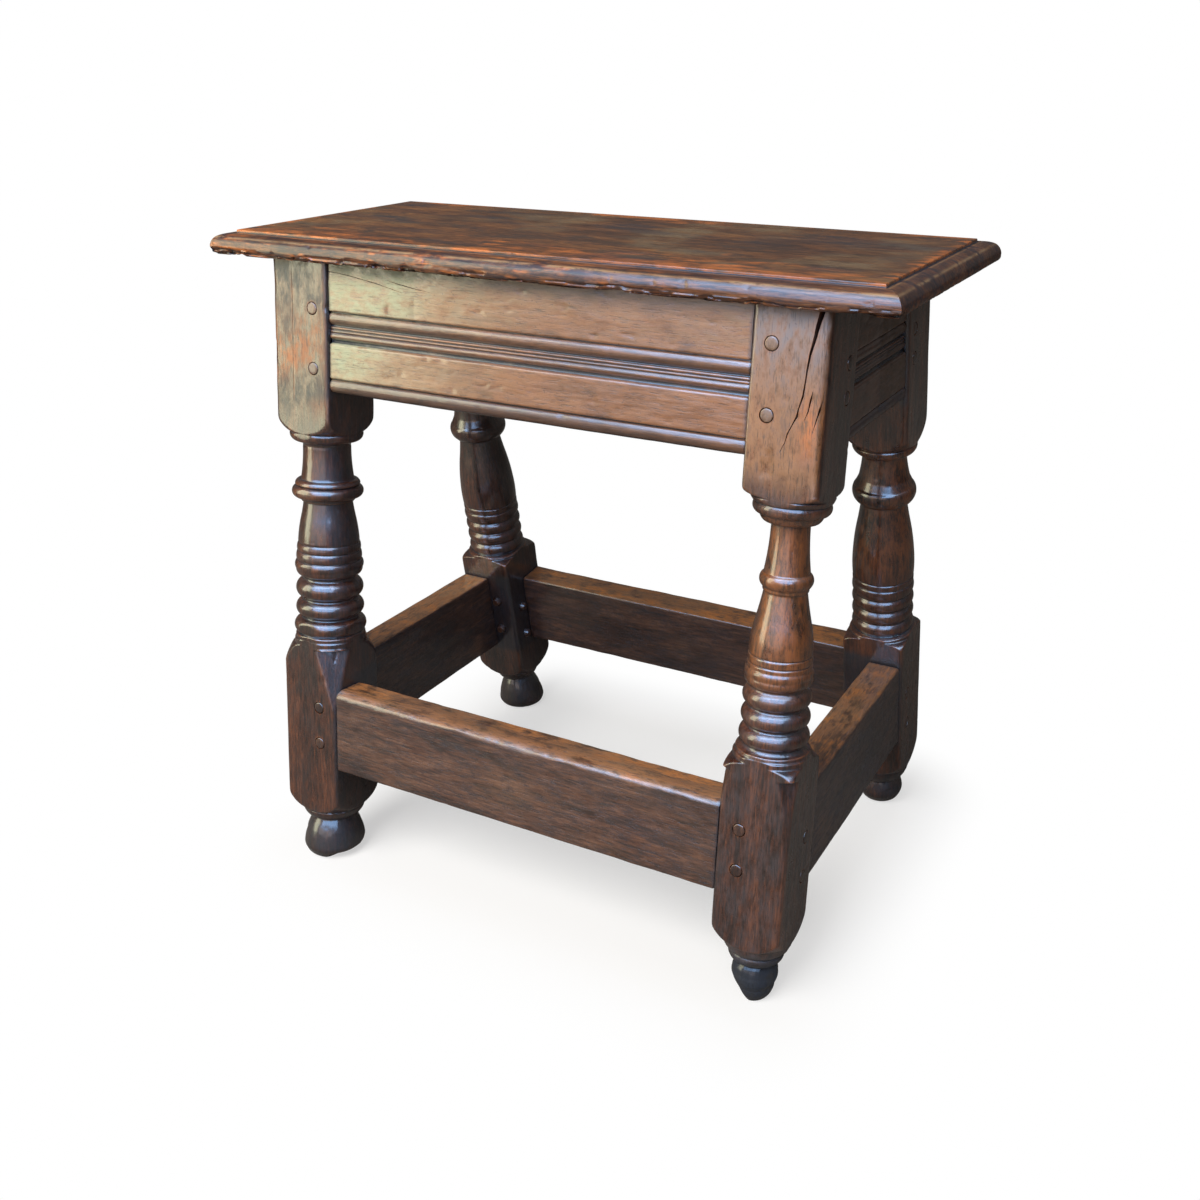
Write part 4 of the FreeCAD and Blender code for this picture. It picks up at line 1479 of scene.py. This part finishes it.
def apron_zone(points, normals, rubbed, dirt, tone):
    """The aprons are paler towards the left, seen from outside, partly a wax film and partly a painted
    sheen; they are darker in the quirks and on the beads, with painted shade along the top, under the board.
    """
    recess = recess_of(points)
    quirk = above(recess, 2.3, 0.3) * (recess < 5)
    patchy = 0.5 + 0.5 * fractal(points, (30, 9, 9), 779)
    # Painted shade along the top, under the board
    shade_under_board = near(points[:, 2] - frame_height, 18) * patchy
    dirt = np.maximum(dirt, np.maximum(1.3 * quirk, 0.9 * shade_under_board))
    # Paler towards the left end: partly a wax film, partly a painted sheen
    toward_left = -points[:, 0] * np.sign(-points[:, 1]) + 0.7 * (points[:, 2] - 480)
    edge = 14 * fractal(points, (26, 26, 12), 780)
    left = 0.35 * above(toward_left, -40, 220) + 0.75 * above(toward_left + edge, sheen_edge, 44)
    high = above(points[:, 2], 455, 50)
    reeds = above(points[:, 2], reeds_foot, 3) * (1 - above(points[:, 2], reeds_head, 3))
    foot_bead = 1 - above(points[:, 2], apron_foot + foot_bead_height, 3)
    bead = np.maximum(reeds, foot_bead) * (np.abs(normals[:, 1]) > 0.1)
    dirt = np.maximum(dirt, np.maximum(0.5 * foot_bead, 0.3 * reeds))
    film = (left + 0.25 * high * tone) * (1 - 0.75 * bead)
    return rubbed * (0.8 + bead), dirt, (0.2 + 0.6 * tone) * (1 - 0.7 * bead), film


def peg_zone(points, normals, rubbed, dirt, tone):
    """The pegs of the aprons are as pale as the wood around them, with the same painted light and sheen on
    their upper outer faces.
    """
    upper = above(points[:, 2], upper_block_foot - 12, 30)
    outer = above(np.abs(normals[:, 1]), 0.5, 0.3)
    return rubbed * 0.4, dirt, upper * outer * 0.8, 0.4 * upper * outer


def stretcher_zone(points, normals, rubbed, dirt, tone):
    """Feet have worn the tops of the stretchers to bare wood."""
    top = above(normals[:, 2], 0.35, 0.55)
    patchy = above(fractal(points, (50, 10, 10), 777), -0.1, 0.5)
    worn = np.maximum(rubbed * 0.5, top * (0.4 + 0.6 * patchy))
    # Painted shade: all but the tops are darker, the back and side stretchers much more than the front one
    at_front = points[:, 1].mean() < -80
    dirt = np.maximum(dirt, (0.22 if at_front else 0.50) * (1 - top))
    return worn, dirt, np.maximum(0.25 * tone * tone, 0.8 * top * tone), 0.25 * top


def board_zone(points, normals, rubbed, dirt, tone):
    """The field is dark with a worn band along its edges, and the moulding is rubbed, with a painted
    highlight along the nose's upper arris and a painted sheen on the fillet.
    """
    in_x = board_length / 2 - field_inset - np.abs(points[:, 0])
    in_y = board_depth / 2 - field_inset - np.abs(points[:, 1])
    inside = np.minimum(in_x, in_y)
    from_front = board_depth / 2 - field_inset + points[:, 1]
    reach = np.where(from_front < in_x, 75, 30)
    closeness = 1 - np.clip(np.minimum(from_front, inside * 2), 0, reach) / reach
    field = (points[:, 2] > seat_height - 2) * (inside > -1)
    patchy = fractal(points, (22, 7, 7), 778, 4)
    rubbed = np.maximum(0.45 * rubbed, field * above(patchy + 0.95 * closeness, 0.50, 0.40))
    nose = near(points[:, 2] - frame_height, 12) * above(-inside, 10, 4)
    rubbed = np.maximum(rubbed, 0.8 * nose * above(splinters(points), 0.0, 0.12))
    quirk = near(inside + 0.8, 1.6) * (points[:, 2] < seat_height - 1.2)
    # Painted highlight along the nose's upper arris and painted sheen on the fillet by the field
    arris = near(points[:, 2] - (seat_height - field_step - nose_drop), 1.1) * (inside < -8)
    fillet_sheen = near(inside + 2.6, 1.8) * (points[:, 2] < seat_height - 1.2)
    pale = np.maximum(0.9 * arris, 0.55 * fillet_sheen) * (0.5 + 0.9 * tone)
    film = (0.20 + 0.70 * above(tone, 0.45, 0.25)) * field
    moulding = above(-inside, 2, 2) * (1 - 0.8 * arris)
    stain = above(fractal(points, (17, 2.6, 2.6), 781, 3), -0.1, 0.5)
    orange = above(fractal(points, (11, 2.4, 2.4), 782, 3), 0.0, 0.5) * (1 - stain)
    right = above(points[:, 0], 20, 160)
    rubbed = np.maximum(rubbed, 1.1 * moulding * orange * (1 - 0.7 * right))
    smudge = field * above(fractal(points, (70, 22, 22), 783, 4), 0.05, 0.35)
    shade = np.maximum(moulding * (0.18 + 0.37 * stain * (1 - right) + 0.22 * right), 0.45 * smudge)
    return rubbed, np.maximum(dirt, np.maximum(0.9 * quirk, shade)), pale, film


# Putting the stool together

def dress(piece, node, material, seed, zone):
    """Finishes a piece that stands for a CAD node."""
    finish_surface(piece, seed, zone)
    piece.data.materials.clear()
    piece.data.materials.append(material)
    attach(piece, "root")
    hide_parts(node)


dress(top_board(), "top_board", board_wood, 11, board_zone)
for index, corner in enumerate(corners):
    dress(leg(corner), corner + "_leg", leg_wood[corner], 20 + index, leg_zone(corner))
for index, (side, half_turns) in enumerate((("front", 0), ("back", 1))):
    rail = long_apron(side, half_turns, 500 + 50 * index)
    dress(rail, side + "_apron", apron_wood_long, 30 + index, apron_zone)
    rail = long_stretcher(side, half_turns, 600 + 50 * index)
    dress(rail, side + "_stretcher", stretcher_wood_long, 40 + index, stretcher_zone)
for index, (side, sign) in enumerate((("right", 1), ("left", -1))):
    rail = side_apron(side, sign, 700 + 50 * index)
    dress(rail, side + "_apron", shaded_side_apron_wood, 32 + index, apron_zone)
    rail = side_stretcher(side, sign, 800 + 50 * index)
    dress(rail, side + "_stretcher", stretcher_wood_side, 42 + index, stretcher_zone)
for index, rail in enumerate(
    side + "_" + kind for side in ("front", "back", "left", "right") for kind in ("apron", "stretcher")
):
    dress(peg_set(rail + "_pegs"), rail + "_pegs", peg_wood, 60 + index, peg_zone)
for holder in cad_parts["top_pegs"].material_slots:
    holder.material = peg_wood


# The floor, the light and the camera

floor_size = 30.0
footprint = (0.20, 0.15, 0.0)
shadow_reach = 0.11
shadow_share = 0.5
stool_middle = (0.0, 0.0, seat_height * MM / 2)
glossy_share = 0.02
ambient = 0.09
white = (1.0, 1.0, 1.0, 1.0)
floor_seen = (0.95, 0.95, 0.95, 1.0)
floor_in_reflections = (0.20, 0.19, 0.18, 1.0)
room_tint = (1.0, 0.93, 0.87, 1.0)


def seen(shading):
    """1 where a ray sees the background: from the camera, and by a share in a reflection."""
    path = shading.node("LightPath").outputs
    mirrored = shading.math("MAXIMUM", path["Is Glossy Ray"], path["Is Transmission Ray"])
    return shading.math("MAXIMUM", path["Is Camera Ray"], shading.math("MULTIPLY", mirrored, glossy_share))


def floor_material():
    """A pale floor. Away from the stool it fades to the white of the background."""
    material = bpy.data.materials.new("pale_floor")
    s = Shading(material)
    place = s.node("TexCoord").outputs["Object"]
    place = s.node("VectorMath", {0: s.scaled(place, (1.0, 1.0, 0.0))}, operation="ABSOLUTE").outputs[0]
    place = s.node("VectorMath", {0: place, 1: footprint}, operation="SUBTRACT").outputs[0]
    place = s.node("VectorMath", {0: place, 1: (0.0, 0.0, 0.0)}, operation="MAXIMUM").outputs[0]
    distance = s.node("VectorMath", {0: place}, operation="LENGTH").outputs["Value"]
    far = s.between(s.step(distance, -0.02, shadow_reach), shadow_share, 1.0)
    plain = s.node("Emission", {"Color": white, "Strength": 1.0}).outputs[0]
    colour = s.mix(seen(s), floor_in_reflections, floor_seen)
    pale = s.node("BsdfDiffuse", {"Color": colour}).outputs[0]
    share = s.math("MULTIPLY", far, s.node("LightPath").outputs["Is Camera Ray"])
    s.node("OutputMaterial", {0: s.node("MixShader", {0: share, 1: pale, 2: plain}).outputs[0]})
    return material


bpy.ops.mesh.primitive_plane_add(size=floor_size)
floor = bpy.context.active_object
floor.name = "floor"
floor.data.materials.append(floor_material())

world = bpy.data.worlds.new("studio")
bpy.context.scene.world = world
backdrop = Shading(world)
background_share = seen(backdrop)
tint = backdrop.mix(background_share, room_tint, white)
strength = backdrop.between(background_share, ambient, 1.0)
plain = backdrop.node("Background", {"Color": tint, "Strength": strength})
backdrop.node("OutputWorld", {0: plain.outputs[0]})


def soft_light(name, place, size, power, colour, shows=False):
    """A panel that faces the middle of the stool: it lights it, or else shows in what shines."""
    lamp = bpy.data.lights.new(name, "AREA")
    lamp.shape = "RECTANGLE"
    lamp.size, lamp.size_y = size
    lamp.energy = power
    lamp.color = colour
    holder = bpy.data.objects.new(name, lamp)
    bpy.context.scene.collection.objects.link(holder)
    holder.location = place
    towards = Vector(stool_middle) - Vector(place)
    holder.rotation_euler = towards.to_track_quat("-Z", "Y").to_euler()
    holder.visible_diffuse = not shows
    holder.visible_glossy = shows


soft_light("key", (-0.60, -1.90, 2.15), (2.2, 1.6), 100, (1.0, 0.98, 0.94))
soft_light("fill_right", (1.8, -2.0, 1.5), (1.2, 1.2), 10, (1.0, 0.86, 0.76))
soft_light("window", (-1.83, -1.58, 1.10), (1.0, 2.2), 30, (1.0, 0.97, 0.68), True)
soft_light("sky", (0.35, -1.75, 1.90), (3.6, 2.1), 150, (0.34, 0.58, 1.0), True)
soft_light("sky_above", (0.35, -0.75, 2.70), (3.6, 1.6), 100, (0.46, 0.68, 1.0), True)
soft_light("room", (-0.10, -2.60, 0.60), (3.0, 0.8), 9, (1.0, 0.80, 0.72), True)

lens = bpy.data.cameras.new("camera")
lens.lens = 36.763
lens.sensor_width = 36.0
lens.shift_x = -0.0867
lens.shift_y = -0.0443
lens.clip_start = 0.02
camera = bpy.data.objects.new("camera", lens)
bpy.context.scene.collection.objects.link(camera)
camera.location = (0.49902, -0.82064, 0.66332)
camera.rotation_euler = (1.1822, 0.0, 0.4621)
bpy.context.scene.camera = camera
bpy.context.scene.view_settings.view_transform = "Standard"

bpy.context.view_layer.update()
